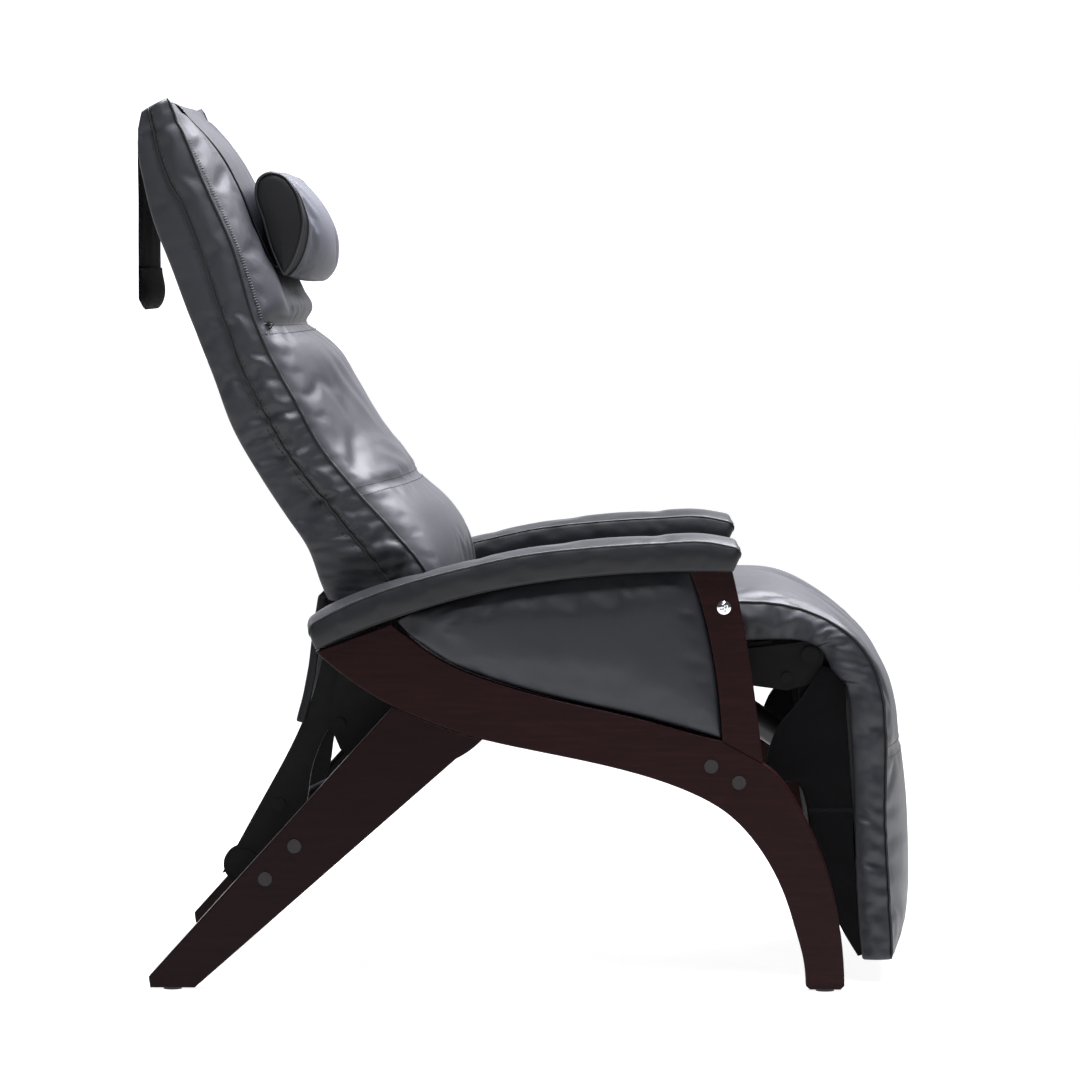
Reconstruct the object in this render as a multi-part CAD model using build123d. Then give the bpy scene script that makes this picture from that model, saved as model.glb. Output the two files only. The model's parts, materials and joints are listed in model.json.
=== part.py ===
"""Zero gravity power recliner: wooden side frames, steel subframe, reclining back, lifting leg rest.

Frame: millimetres, +X forward, +Y to the sitter's left, +Z up, origin on the floor under the
middle of the chair's box.  "right" is the sitter's right, the -Y side.  The back and the leg rest
turn about -Y pins.  Each one's actuator pins lie on a circle about its pivot, so the actuator
tilts by exactly half the joint's angle while its rod slides in the tube.
"""
from build123d import *
from math import cos, radians, sin, hypot
import os

os.makedirs("parts", exist_ok=True)

# ---------------------------------------------------------------- driving dimensions
HALF_WIDTH = 372.0            # outer face of an arm pad
ARM_WIDTH = 90.0
WOOD_OUT, WOOD_IN = 345.0, 313.0     # outer and inner faces of a wooden side frame
PANEL_OUT = 348.0             # leather side panel stands a little proud of the wood
SIDE_PLATE = 6.0              # steel plate bolted inside each wooden frame
SUB_OUT, SUB_IN = 252.0, 246.0       # inner subframe plates
ARM_OUT, ARM_IN = 238.0, 230.0       # steel arms that swing inside the subframe plates
SEAT_HALF = 262.0             # seat and leg upholstery
BACK_HALF = 250.0             # back upholstery
PILLOW_HALF = 165.0
STRAP_HALF = 150.0
GLIDE = 3.0                   # foot glide thickness, the wood starts above it
GAP = 0.5                     # between soft pieces that lie on one another

BACK_PIVOT = (-215.0, 425.0)
KNEE_PIVOT = (376.0, 430.0)
PIVOT_PIN = 8.0               # radius
RUNNING = 0.06                # radial clearance of a pin in a moving bore

LEVER_TUBE = (-369.0, 152.0)  # cross tube at the lower end of the back levers
LEVER_TUBE_R = 20.0
BACK_ROD_PIN = (-352.0, 192.0)
BACK_BASE_ANGLE = -7.0        # direction of the fixed actuator pin from the back pivot, degrees
LEG_CRANK = 165.0
LEG_ROD_ANGLE, LEG_BASE_ANGLE = 278.3, 193.3
ACTUATOR_PIN = 6.0
LEG_BAR = (412.0, 240.0)      # cross bar of the leg rest
LEG_BAR_R = 12.0


def polar(centre, radius, degrees):
    """Point at a radius and angle from a centre, in the XZ plane."""
    return (centre[0] + radius * cos(radians(degrees)), centre[1] + radius * sin(radians(degrees)))


def distance(a, b):
    return hypot(b[0] - a[0], b[1] - a[1])


BACK_BASE_PIN = polar(BACK_PIVOT, distance(BACK_PIVOT, BACK_ROD_PIN), BACK_BASE_ANGLE)
LEG_ROD_PIN = polar(KNEE_PIVOT, LEG_CRANK, LEG_ROD_ANGLE)
LEG_BASE_PIN = polar(KNEE_PIVOT, LEG_CRANK, LEG_BASE_ANGLE)
MID_TUBE = ((BACK_BASE_PIN[0] + LEG_BASE_PIN[0]) / 2, (BACK_BASE_PIN[1] + LEG_BASE_PIN[1]) / 2)
REAR_TUBE = (-120.0, 378.0)
FRONT_TUBE = (258.0, 316.0)
TUBE_R, MID_TUBE_R = 14.0, 19.0
WALL = 2.5


# ---------------------------------------------------------------- helpers
def profile(start, *runs):
    """Face in the XZ plane. Each run goes on from the last point: one point is a straight line,
    more points are a smooth curve. The last run ends at the start, or a line closes it."""
    edges, here = [], start
    for run in runs:
        points = [here, *run]
        edges.append(Line(*points) if len(points) == 2 else Spline(*points))
        here = points[-1]
    if here != start:
        edges.append(Line(here, start))
    return make_face(edges)


def slab(face, low, high):
    """The XZ face as a solid between two Y values."""
    plane = Plane(origin=(0, high, 0), x_dir=(1, 0, 0), z_dir=(0, -1, 0))
    return extrude(plane * face, amount=high - low, dir=(0, -1, 0))


def right_slab(face, inner, outer):
    """The XZ face on the -Y side, between two distances from the middle."""
    return slab(face, -outer, -inner)


def pin(at, radius, low, high):
    """Cylinder along Y at an XZ place."""
    return Pos(at[0], (low + high) / 2, at[1]) * Rot(90, 0, 0) * Cylinder(radius, high - low)


def pipe(at, radius, half):
    """Round tube across the chair."""
    return pin(at, radius, -half, half) - pin(at, radius - WALL, -half - 1, half + 1)


def plugged_pipe(at, radius, half):
    """Round tube across the chair with closed ends."""
    return pin(at, radius, -half, half) - pin(at, radius - WALL, -half + WALL, half - WALL)


def capsule(a, b, radius, low, high):
    """Plate with round ends about two XZ places, between two Y values."""
    length = distance(a, b)
    across = ((b[1] - a[1]) / length * radius, -(b[0] - a[0]) / length * radius)
    corners = [(p[0] + k * across[0], p[1] + k * across[1]) for p, k in ((a, 1), (b, 1), (b, -1), (a, -1))]
    return slab(profile(corners[0], *[[c] for c in corners[1:]]), low, high) \
        + pin(a, radius, low, high) + pin(b, radius, low, high)


def along(a, b):
    """Plane at a with Z towards b, both XZ places, and its X axis along the chair's Y."""
    return Plane(origin=(a[0], 0, a[1]), x_dir=(0, 1, 0), z_dir=(b[0] - a[0], 0, b[1] - a[1]))


def save(node, shape):
    export_step(shape, f"parts/{node}.step")


def save_pair(node, right):
    """A right-hand piece and its mirror image on the left."""
    save(f"{node}_right", right)
    save(f"{node}_left", mirror(right, about=Plane.XZ))


def save_group(node, *shapes):
    """Identical loose pieces in one node."""
    save(node, Compound(children=[solid for shape in shapes for solid in shape.solids()]))


def mirrored(shape):
    return [shape, mirror(shape, about=Plane.XZ)]


# ---------------------------------------------------------------- wooden side frames
RAIL_TOP = [(-137, 453), (-94, 425), (-43, 404), (20, 385), (84, 370), (147, 356), (202, 341)]
RAIL_HEEL = (-168, 477)
LEG_JOINT = [(-107, 345), (-166, 370)]         # where the rear leg meets the rail's lower edge
POST_FOOT = ((260, 326), (313, 297))
POST_HEAD = ((218, 545), (273, 545))
FRAME_BOLTS = [(246, 293), (282, 272), (-294, 188), (-332, 145)]
POST_BOLT = (262, 499)
BOLT_R, BOLT_HEAD_R, BOLT_HEAD = 4.0, 9.0, 2.0


def wood_rail():
    """Long curved rail: from the arm's rear end forward and down into the front foot."""
    face = profile(
        (-266, 441), [RAIL_HEEL], [*RAIL_TOP, POST_FOOT[0]],
        [POST_FOOT[1]],
        [(337, 276), (360, 241), (378, 205), (393, 168), (405, 125), (414, 76), (419, GLIDE + 5)],
        [(414, GLIDE)], [(374, GLIDE)], [(369, GLIDE + 5)],
        [(366, 40), (355, 82), (340, 128), (321, 167), (296, 203), (265, 233), (223, 257), (160, 280),
         (60, 304), (-50, 327)],
        LEG_JOINT, [(-213, 398), (-266, 441)])
    return right_slab(face, WOOD_IN, WOOD_OUT)


def rear_leg():
    """Straight tapered leg, jointed under the rail and raked to the rear."""
    face = profile(
        LEG_JOINT[-1], [(-484, GLIDE + 14)], [(-482, GLIDE)], [(-424, GLIDE)], [(-84, 302)],
        [(-62, 316), (-50, 327)], LEG_JOINT)
    return right_slab(face, WOOD_IN, WOOD_OUT)


def front_post():
    """Upright that carries the front of the arm."""
    face = profile(
        POST_HEAD[0], [POST_HEAD[1]], [(287, 479), (302, 385), POST_FOOT[1]], [POST_FOOT[0]],
        [(257, 368), (250, 423), (238, 482), POST_HEAD[0]])
    return right_slab(face, WOOD_IN, WOOD_OUT)


EDGE_RADIUS = 2.0


def rounded(wood, shortest=0.0):
    """The wood with its edges on the outer and inner faces rounded, apart from the very short ones."""
    def on_face(edge):
        return any(all(abs(abs(v.Y) - face) < 0.001 for v in edge.vertices()) for face in (WOOD_OUT, WOOD_IN))
    return fillet([e for e in wood.edges() if on_face(e) and e.length > shortest], EDGE_RADIUS)


def bolt(at):
    """Bolt through the wood and the steel plate, with a nut inside."""
    inner = WOOD_IN - SIDE_PLATE
    shank = pin(at, BOLT_R, -WOOD_OUT, -(inner - 9))
    head = pin(at, BOLT_HEAD_R, -WOOD_OUT - BOLT_HEAD, -WOOD_OUT)
    nut = pin(at, 7.0, -inner, -(inner - 6.5))
    return shank + head + nut


def holes(shape, places):
    for at in places:
        shape -= pin(at, BOLT_R, -WOOD_OUT - 5, -200)
    return shape


save_pair("wood_rail", holes(rounded(wood_rail()), FRAME_BOLTS[:2]))
save_pair("rear_leg", holes(rounded(rear_leg()), FRAME_BOLTS[2:]))
save_pair("front_post", holes(rounded(front_post(), shortest=100), [POST_BOLT]))
save_group("frame_bolts", *[b for at in FRAME_BOLTS for b in mirrored(bolt(at))])
save_group("post_bolts", *mirrored(bolt(POST_BOLT)))

FEET = [(x, k * (WOOD_IN + WOOD_OUT) / 2) for x in (-454, 394) for k in (-1, 1)]
save_group("foot_glides", *[Pos(x, y, GLIDE / 2) * Cylinder(12, GLIDE) for x, y in FEET])

# ---------------------------------------------------------------- arms and side panels
ARM_UNDER = [(-232, 459), (-194, 474), (-127, 497), (-63, 515), (0, 528), (84, 539), (168, 545)]
ARM_BOARD = 12.0
ARM_REAR, ARM_FRONT = (-264, 444), (272, 546)
PANEL_GAP = 1.5               # between the side panel and the rail


def raised(points, height):
    return [(x, z + height) for x, z in points]


def arm_board():
    """Bent plywood under the arm pad, screwed to the rail and the post."""
    rear, front = raised([ARM_REAR, ARM_FRONT], 0)
    top_rear, top_front = raised([ARM_REAR, ARM_FRONT], ARM_BOARD)
    face = profile(rear, [*ARM_UNDER, front], [top_front], [*raised(ARM_UNDER[::-1], ARM_BOARD), top_rear])
    middle = HALF_WIDTH - ARM_WIDTH / 2
    return right_slab(face, middle - ARM_WIDTH / 2 + 10, middle + ARM_WIDTH / 2 - 10)


def arm_pad():
    """Upholstered pad on the board."""
    lift = ARM_BOARD + GAP
    rear, front = raised([ARM_REAR, ARM_FRONT], lift)
    face = profile(
        rear, [*raised(ARM_UNDER, lift), front], [(286, 570), (288, 581), (265, 590), (232, 592)],
        [(126, 587), (0, 571), (-65, 557), (-128, 541), (-179, 524), (-221, 509), (-251, 496)],
        [(-272, 484), (-281, 471), (-279, 458), rear])
    return right_slab(face, HALF_WIDTH - ARM_WIDTH, HALF_WIDTH)


def side_panel():
    """Padded leather panel that fills the space between rail, post and arm."""
    under = raised(ARM_UNDER[2:], -1)
    face = profile(
        (-163, 478 + PANEL_GAP), under, [(216, 542)], [(235, 482), (248, 423), (255, 368), (258, 329)],
        raised([*RAIL_TOP[::-1], (-163, 478)], PANEL_GAP))
    return right_slab(face, WOOD_IN + 1, PANEL_OUT)


save_pair("arm_board", arm_board())
save_pair("arm_pad", arm_pad())
save_pair("side_panel", side_panel())

# ---------------------------------------------------------------- steel frame
PLATE_IN = WOOD_IN - SIDE_PLATE
CROSS_TUBES = {"rear_cross_tube": (REAR_TUBE, TUBE_R), "mid_cross_tube": (MID_TUBE, MID_TUBE_R),
               "front_cross_tube": (FRONT_TUBE, TUBE_R)}


def side_plate():
    """Plate inside the wooden frame that joins leg, rail and post and carries the cross tubes."""
    corners = [
        (-372, 138), (-300, 214), (-240, 275), (-165, 350), (-150, 385), (-205, 415), (-190, 440), (-130, 436),
        (-60, 405), (40, 398), (100, 418), (172, 418), (220, 380), (266, 345), (296, 300), (300, 232),
        (262, 240), (200, 276), (120, 298), (30, 316), (-52, 334), (-140, 266), (-220, 200), (-340, 104)]
    return right_slab(profile(corners[0], *[[c] for c in corners[1:]]), PLATE_IN, WOOD_IN)


SUBFRAME_BOLTS = [(-241, 339), (346, 400)]
PIVOT_BOSS = 18.0


def subframe_bolt(at):
    """Button-head bolt on the outside of a subframe plate."""
    return pin(at, 8, -SUB_OUT - 3.5, -SUB_OUT) + pin(at, BOLT_R, -SUB_OUT, -SUB_IN + 2)


def subframe_plate():
    """Inner plate between the back pivot and the knee pivot."""
    corners = [(-215, 447), (-172, 432), (-150, 405), (60, 418), (180, 428), (262, 435), (370, 448), (394, 430),
               (388, 396), (346, 384), (286, 392), (276, 300), (236, 300), (200, 352), (100, 362), (-100, 350),
               (-190, 318), (-224, 290), (-240, 306), (-253, 336), (-250, 380), (-238, 420)]
    plate = right_slab(profile(corners[0], *[[c] for c in corners[1:]]), SUB_IN, SUB_OUT)
    for pivot in (BACK_PIVOT, KNEE_PIVOT):
        plate += pin(pivot, PIVOT_BOSS, -SUB_OUT, -SUB_IN)
    for pivot in (BACK_PIVOT, KNEE_PIVOT):
        plate -= pin(pivot, PIVOT_PIN, -SUB_OUT - 1, -SUB_IN + 1)
    for at in SUBFRAME_BOLTS:
        plate -= pin(at, BOLT_R, -SUB_OUT - 1, -SUB_IN + 1)
    for at, radius in CROSS_TUBES.values():
        plate -= pin(at, radius, -SUB_OUT - 1, -SUB_IN + 1)
    return plate


def pivot_pin(at):
    """Shoulder bolt with a domed head outside the subframe plate."""
    return pin(at, PIVOT_PIN, -SUB_OUT, -ARM_IN + 3) + pin(at, 12, -SUB_OUT - 5, -SUB_OUT)


def washer(at):
    low, high = -SUB_IN, -ARM_OUT - 0.3
    return pin(at, 14, low, high) - pin(at, PIVOT_PIN, low - 1, high + 1)


save_pair("side_plate", holes(side_plate(), FRAME_BOLTS))
save_pair("subframe_plate", subframe_plate())
for tube_node, (tube_at, tube_radius) in CROSS_TUBES.items():
    save(tube_node, pipe(tube_at, tube_radius, PLATE_IN))
save_group("subframe_bolts", *[b for at in SUBFRAME_BOLTS for b in mirrored(subframe_bolt(at))])
save_group("back_pivot_pins", *mirrored(pivot_pin(BACK_PIVOT)))
save_group("legrest_pivot_pins", *mirrored(pivot_pin(KNEE_PIVOT)))
save_group("pivot_washers", *mirrored(washer(BACK_PIVOT)), *mirrored(washer(KNEE_PIVOT)))

EAR_IN, EAR_OUT = 20.0, 26.0


def actuator_mount():
    """Two ears welded to the middle cross tube, which hold the fixed pins of both actuators."""
    ear = capsule(BACK_BASE_PIN, LEG_BASE_PIN, 16, -EAR_OUT, -EAR_IN)
    ear += pin(MID_TUBE, 28, -EAR_OUT, -EAR_IN)
    ear -= pin(MID_TUBE, MID_TUBE_R, -EAR_OUT - 1, -EAR_IN + 1)
    for at in (BACK_BASE_PIN, LEG_BASE_PIN):
        ear -= pin(at, ACTUATOR_PIN, -EAR_OUT - 1, -EAR_IN + 1)
    return ear


save_group("actuator_mount", *mirrored(actuator_mount()))
save_group("actuator_base_pins", *[pin(at, ACTUATOR_PIN, -EAR_OUT - 3, EAR_OUT + 3)
                                   for at in (BACK_BASE_PIN, LEG_BASE_PIN)])

# ---------------------------------------------------------------- seat
SEAT_REAR, SEAT_FRONT = (-140, 411), (325, 449)      # top edge of the seat frame
RAIL_DEEP, RAIL_WIDE = 20.0, 25.0
WEB_THICK, WEB_WIDE = 2.0, 50.0


def seat_line(x):
    """Height of the seat frame's top edge."""
    slope = (SEAT_FRONT[1] - SEAT_REAR[1]) / (SEAT_FRONT[0] - SEAT_REAR[0])
    return SEAT_REAR[1] + slope * (x - SEAT_REAR[0])


def seat_strip(x_low, x_high, below, above, half):
    """Piece across the chair that follows the seat line, from below it to above it."""
    face = profile((x_low, seat_line(x_low) + below), [(x_high, seat_line(x_high) + below)],
                   [(x_high, seat_line(x_high) + above)], [(x_low, seat_line(x_low) + above)])
    return slab(face, -half, half)


def seat_frame():
    """Rectangular frame of steel box section on the subframe plates."""
    x_low, x_high = SEAT_REAR[0], SEAT_FRONT[0]
    frame = seat_strip(x_low, x_high, -RAIL_DEEP, 0, SUB_IN)
    return frame - seat_strip(x_low + RAIL_WIDE, x_high - RAIL_WIDE, -RAIL_DEEP - 1, 1, SUB_IN - RAIL_WIDE)


SEAT_END = 326.0


def seat_cushion():
    """Foam seat from under the back to where the knee bend begins."""
    base = WEB_THICK + GAP
    face = profile(
        (-142, seat_line(-142) + base), [(SEAT_END, seat_line(SEAT_END) + base)], [(SEAT_END, 524)],
        [(250, 522), (120, 504), (0, 486), (-120, 474)], [(-158, 460), (-142, seat_line(-142) + base)])
    return slab(face, -SEAT_HALF, SEAT_HALF)


def knee_cushion():
    """Soft bend of the upholstery over the knee, which rolls up as the leg rest lifts."""
    face = profile(
        (SEAT_END + 2, 454), [(SEAT_END + 2, 523)],
        [(373, 516), (405, 495), (431, 475), (452, 454), (470, 428), (480, 404)],
        [(436, 397)], [(424, 404), (408, 424), (396, 452)])
    return slab(face, -SEAT_HALF, SEAT_HALF)


save("seat_frame", seat_frame())
save_group("seat_webbing", *[seat_strip(x, x + WEB_WIDE, 0, WEB_THICK, SUB_IN - 8) for x in range(-100, 280, 78)])
save("seat_cushion", seat_cushion())
save("knee_cushion", knee_cushion())

BOX_TOP = MID_TUBE[1] - MID_TUBE_R
BOX_SIZE = (110.0, 80.0, 32.0)
SOCKET_R, SOCKET_DEEP = 2.75, 9.5


def control_box():
    """Control electronics under the middle tube, with a power inlet and a hand-control socket."""
    centre = (MID_TUBE[0], 150.0, BOX_TOP - BOX_SIZE[2] / 2)
    box = Pos(*centre) * Box(*BOX_SIZE)
    box = fillet(box.edges().filter_by(Axis.Z), 6)
    rear = centre[0] - BOX_SIZE[0] / 2
    for offset, radius in ((-18, SOCKET_R), (18, 4.0)):
        mouth = Pos(rear, centre[1] + offset, centre[2]) * Rot(0, 90, 0)
        collar = mouth * Cylinder(radius + 3, 6)
        bore = mouth * Cylinder(radius, 2 * SOCKET_DEEP)
        box = box + collar - bore
    return box


save("control_box", control_box())

# ---------------------------------------------------------------- back
BACK_REAR = [(-499, 1142), (-507, 1120), (-503, 1084), (-491, 1030), (-466, 955), (-427, 848),
             (-398, 770), (-360, 690), (-310, 609), (-283, 565), (-266, 512)]
PANEL_THICK = 7.0
FRAME_TUBE_R = 11.0
FRAME_PATH = [(-476, 1105), (-452, 1000), (-398, 855), (-340, 712), (-268, 590), (-240, 512)]
FRAME_HALF = ARM_IN - FRAME_TUBE_R


def rear_panel():
    """Stiff leather-covered panel over the back of the frame."""
    inner = [(x + PANEL_THICK + 1, z - 3) for x, z in BACK_REAR[1:-1]]
    face = profile(BACK_REAR[1], BACK_REAR[2:], [(-258, 512)], [*inner[:0:-1], (-499, 1119)])
    return slab(face, -BACK_HALF, BACK_HALF)


def frame_side():
    """One bent side tube of the back frame, in its XZ plane on the right."""
    path = FilletPolyline(*[(x, -FRAME_HALF, z) for x, z in FRAME_PATH], radius=60)
    return sweep(Plane(origin=path @ 0, z_dir=path % 0) * Circle(FRAME_TUBE_R), path=path)


def back_frame():
    """Two bent side tubes joined by cross tubes."""
    side = frame_side()
    frame = side + mirror(side, about=Plane.XZ)
    for at in (FRAME_PATH[0], FRAME_PATH[2], FRAME_PATH[4]):
        frame += pin(at, FRAME_TUBE_R, -FRAME_HALF, FRAME_HALF)
    return frame


def back_webbing():
    """Elastic bands across the front of the back frame."""
    bands = []
    for (x0, z0), (x1, z1) in zip(FRAME_PATH[:-1], FRAME_PATH[1:]):
        length = distance((x0, z0), (x1, z1))
        ux, uz = (x1 - x0) / length, (z1 - z0) / length
        for share in (0.3, 0.7):
            cx = x0 + share * (x1 - x0) - uz * (FRAME_TUBE_R + WEB_THICK / 2)
            cz = z0 + share * (z1 - z0) + ux * (FRAME_TUBE_R + WEB_THICK / 2)
            half = WEB_WIDE / 2 * 0.6
            a, b = (cx - ux * half, cz - uz * half), (cx + ux * half, cz + uz * half)
            nx, nz = -uz * WEB_THICK / 2, ux * WEB_THICK / 2
            face = profile((a[0] - nx, a[1] - nz), [(b[0] - nx, b[1] - nz)], [(b[0] + nx, b[1] + nz)],
                           [(a[0] + nx, a[1] + nz)])
            bands.append(slab(face, -FRAME_HALF, FRAME_HALF))
    return bands


LEVER_BOLTS = [(-322, 230)]


def back_lever():
    """Curved steel lever: welded to the frame above the pivot, cross tube at its lower end."""
    face = profile(
        (-397, 140), [(-383, 166), (-343, 239), (-309, 301), (-286, 351), (-269, 401), (-259, 450), (-256, 512),
                      (-267, 560), (-284, 594)],
        [(-262, 604)],
        [(-232, 540), (-198, 470), (-190, 425), (-208, 388), (-232, 358), (-258, 328), (-272, 298), (-279, 275),
         (-284, 240), (-303, 200), (-340, 156)])
    lever = right_slab(face, ARM_IN, ARM_OUT) + pin(LEVER_TUBE, LEVER_TUBE_R + 6, -ARM_OUT, -ARM_IN)
    lever -= pin(LEVER_TUBE, LEVER_TUBE_R, -ARM_OUT - 1, -ARM_IN + 1)
    lever -= pin(BACK_PIVOT, PIVOT_PIN + RUNNING, -ARM_OUT - 1, -ARM_IN + 1)
    for at in LEVER_BOLTS:
        lever -= pin(at, BOLT_R, -ARM_OUT - 1, -ARM_IN + 1)
    return lever


def lever_bolt(at):
    return pin(at, 9, -ARM_OUT - 4, -ARM_OUT) + pin(at, BOLT_R, -ARM_OUT, -ARM_IN + 4)


ROD_EYE = 11.0                # half width of a rod's eye
CLEVIS_IN, CLEVIS_OUT = 12.0, 18.0


def clevis_ears(tube_at, tube_radius, pin_at):
    """Two ears welded on a cross tube, with the bores of the rod's pin."""
    ear = capsule(tube_at, pin_at, 14, -CLEVIS_OUT, -CLEVIS_IN)
    ear -= pin(pin_at, ACTUATOR_PIN, -CLEVIS_OUT - 1, -CLEVIS_IN + 1)
    ear -= pin(tube_at, tube_radius - 1, -CLEVIS_OUT - 1, -CLEVIS_IN + 1)
    return ear + mirror(ear, about=Plane.XZ)


save("back_rear_panel", rear_panel())
save("back_frame", back_frame())
save_group("back_webbing", *back_webbing())
save_pair("back_lever", back_lever())
save("lever_cross_tube",
     plugged_pipe(LEVER_TUBE, LEVER_TUBE_R, ARM_OUT + 3) + clevis_ears(LEVER_TUBE, LEVER_TUBE_R, BACK_ROD_PIN))
save("lever_rod_pin", pin(BACK_ROD_PIN, ACTUATOR_PIN, -CLEVIS_OUT - 3, CLEVIS_OUT + 3))
save_group("lever_bolts", *[b for at in LEVER_BOLTS for b in mirrored(lever_bolt(at))])

HEAD_FOOT = 866.0             # height of the crease under the head cushion
PILLOW_FACE = ((-321, 881), (-369, 1050))      # straight front of the head cushion behind the pillow
PILLOW_RISE = (PILLOW_FACE[1][0] - PILLOW_FACE[0][0], PILLOW_FACE[1][1] - PILLOW_FACE[0][1])
STRAP_THICK = 3.0


def head_cushion():
    """Head bolster, rounded over the top of the back."""
    face = profile(
        (-497, 1123), [(-497, 1138), (-484, 1150), (-466, 1154), (-440, 1140), (-412, 1118), (-388, 1090),
                       PILLOW_FACE[1]],
        [PILLOW_FACE[0]], [(-317, HEAD_FOOT)], [(-380, HEAD_FOOT)], [(-432, 1000), (-455, 1105)], [(-458, 1123)])
    return slab(face, -BACK_HALF, BACK_HALF)


def mid_back_cushion():
    """Cushion between the shoulders and the waist."""
    top = HEAD_FOOT - 3
    face = profile(
        (-379, top), [(-318, top)], [(-296, 852), (-262, 802), (-226, 740), (-186, 684), (-172, 656)],
        [(-232, 640)], [(-286, 668), (-322, 720), (-379, top)])
    return slab(face, -BACK_HALF, BACK_HALF)


def lumbar_cushion():
    """Lower back cushion, down to the seat."""
    face = profile(
        (-231, 637), [(-170, 652)], [(-140, 640), (-110, 600), (-84, 550), (-78, 505)], [(-96, 490)],
        [(-190, 490)], [(-212, 545), (-245, 606), (-272, 646)])
    return slab(face, -BACK_HALF, BACK_HALF)


SKIRT_HALF = ARM_OUT + 3.0


def back_skirt():
    """Leather apron that closes the back below the panel, just behind the levers."""
    rear = [(-275, 470), (-281, 425), (-287, 395), (-294, 365), (-301, 339)]
    front = [(x + 3, z) for x, z in rear[::-1]]
    face = profile((-270, 508), rear, [front[0]], [*front[1:], (-267, 508)])
    return slab(face, -SKIRT_HALF, SKIRT_HALF)


def head_strap():
    """Broad strap from behind the pillow over the head cushion to the rear."""
    lift = GAP
    ux, uz = PILLOW_RISE[0] / hypot(*PILLOW_RISE), PILLOW_RISE[1] / hypot(*PILLOW_RISE)

    def off(point, out):
        return (point[0] + uz * out, point[1] - ux * out)
    low_in, high_in = off((-335, 930), lift), off(PILLOW_FACE[1], lift)
    low_out, high_out = off((-335, 930), lift + STRAP_THICK), off(PILLOW_FACE[1], lift + STRAP_THICK)
    face = profile(
        low_in, [high_in], [(-386, 1092), (-411, 1121), (-439, 1144), (-466, 1158), (-489, 1153), (-502, 1139),
                            (-508, 1124)],
        [(-511.5, 1124)], [(-505, 1142), (-491, 1156.5), (-466, 1161.5), (-437, 1147), (-408, 1123.5), (-382.5, 1093),
                           high_out],
        [low_out])
    return slab(face, -STRAP_HALF, STRAP_HALF)


save("head_cushion", head_cushion())
save("mid_back_cushion", mid_back_cushion())
save("lumbar_cushion", lumbar_cushion())
save("back_skirt", back_skirt())
save("head_strap", head_strap())

# ---------------------------------------------------------------- pillow, flap and counterweight
PILLOW_OFF = GAP + STRAP_THICK + 0.8      # pillow's rear face from the head cushion


def pillow():
    """Adjustable neck roll, flat where it lies on the back."""
    ux, uz = PILLOW_RISE[0] / hypot(*PILLOW_RISE), PILLOW_RISE[1] / hypot(*PILLOW_RISE)

    def place(up, out):
        base_x, base_z = PILLOW_FACE[0]
        return (base_x + up * ux + (out + PILLOW_OFF) * uz, base_z + up * uz - (out + PILLOW_OFF) * ux)
    face = profile(place(58, 0), [place(158, 0)],
                   [place(180, 14), place(182, 38), place(150, 64), place(110, 78), place(70, 74), place(42, 52),
                    place(38, 22), place(58, 0)])
    return slab(face, -PILLOW_HALF, PILLOW_HALF)


FLAP_HINGE = (-512.5, 1121.0)
FLAP_REAR = -514.0
WEIGHT_TOP, WEIGHT_FOOT = 936.0, 879.0


def strap_flap():
    """Cloth flap that hangs plumb from the end of the head strap."""
    return Pos(FLAP_REAR + 1.25, 0, (FLAP_HINGE[1] + WEIGHT_FOOT + 12) / 2) * Box(
        2.5, 2 * STRAP_HALF, FLAP_HINGE[1] - WEIGHT_FOOT - 12)


def strap_weight():
    """Flat sandbag in the flap's pocket, which balances the pillow."""
    front = FLAP_REAR + 3.0
    face = profile((front, WEIGHT_TOP), [(front, WEIGHT_FOOT)],
                   [(front + 9, WEIGHT_FOOT + 4), (front + 14, WEIGHT_FOOT + 22), (front + 10, WEIGHT_FOOT + 42),
                    (front, WEIGHT_TOP)])
    return slab(face, -STRAP_HALF + 4, STRAP_HALF - 4)


save("pillow", pillow())
save("strap_flap", strap_flap())
save("strap_weight", strap_weight())

# ---------------------------------------------------------------- leg rest
BOARD_TOP, BOARD_FOOT = (421, 390), (446, 42)      # rear face of the leg board
BOARD_THICK = 12.0


def leg_board():
    """Plywood board behind the calf cushion."""
    face = profile(BOARD_TOP, [BOARD_FOOT], [(BOARD_FOOT[0] + BOARD_THICK, BOARD_FOOT[1] + 1)],
                   [(BOARD_TOP[0] + BOARD_THICK, BOARD_TOP[1] + 1)])
    return slab(face, -BACK_HALF, BACK_HALF)


def calf_cushion():
    """Foam under the calves, front of the leg rest."""
    rear = BOARD_THICK + GAP
    face = profile(
        (BOARD_TOP[0] + rear, BOARD_TOP[1] + 4), [(BOARD_FOOT[0] + rear, BOARD_FOOT[1])], [(452, 27)],
        [(484, 25), (503, 34), (512, 66), (514, 141), (511, 205), (506, 262), (500, 331), (490, 375), (481, 401)])
    return slab(face, -SEAT_HALF, SEAT_HALF)


LINING_HALF, LINING = 261.0, 2.5


def leg_lining():
    """Lined tray behind the lower half of the board, open at the top, with cheeks up to the knee."""
    outer = profile((372, 229), [(382, 170), (398, 118), (418, 72), (440, 34)], [(449.5, 34)], [(445.5, 41.5)],
                    [(432, 229)])
    inner = profile((375, 233), [(385.5, 170), (401, 119), (421, 74), (440.5, 40)], [(445, 41.5)], [(431, 233)])
    cheek = profile((372, 229), [(432, 229)], [(429, 270)], [(423, 350)], [(420.5, 392)], [(408, 414)], [(392, 418)],
                    [(362, 372)], [(330, 330)], [(322, 268)], [(360, 262)])
    tray = slab(outer, -LINING_HALF, LINING_HALF) - slab(inner, -LINING_HALF + LINING, LINING_HALF - LINING)
    right = right_slab(cheek, LINING_HALF - LINING, LINING_HALF)
    return tray + right + mirror(right, about=Plane.XZ)


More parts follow.
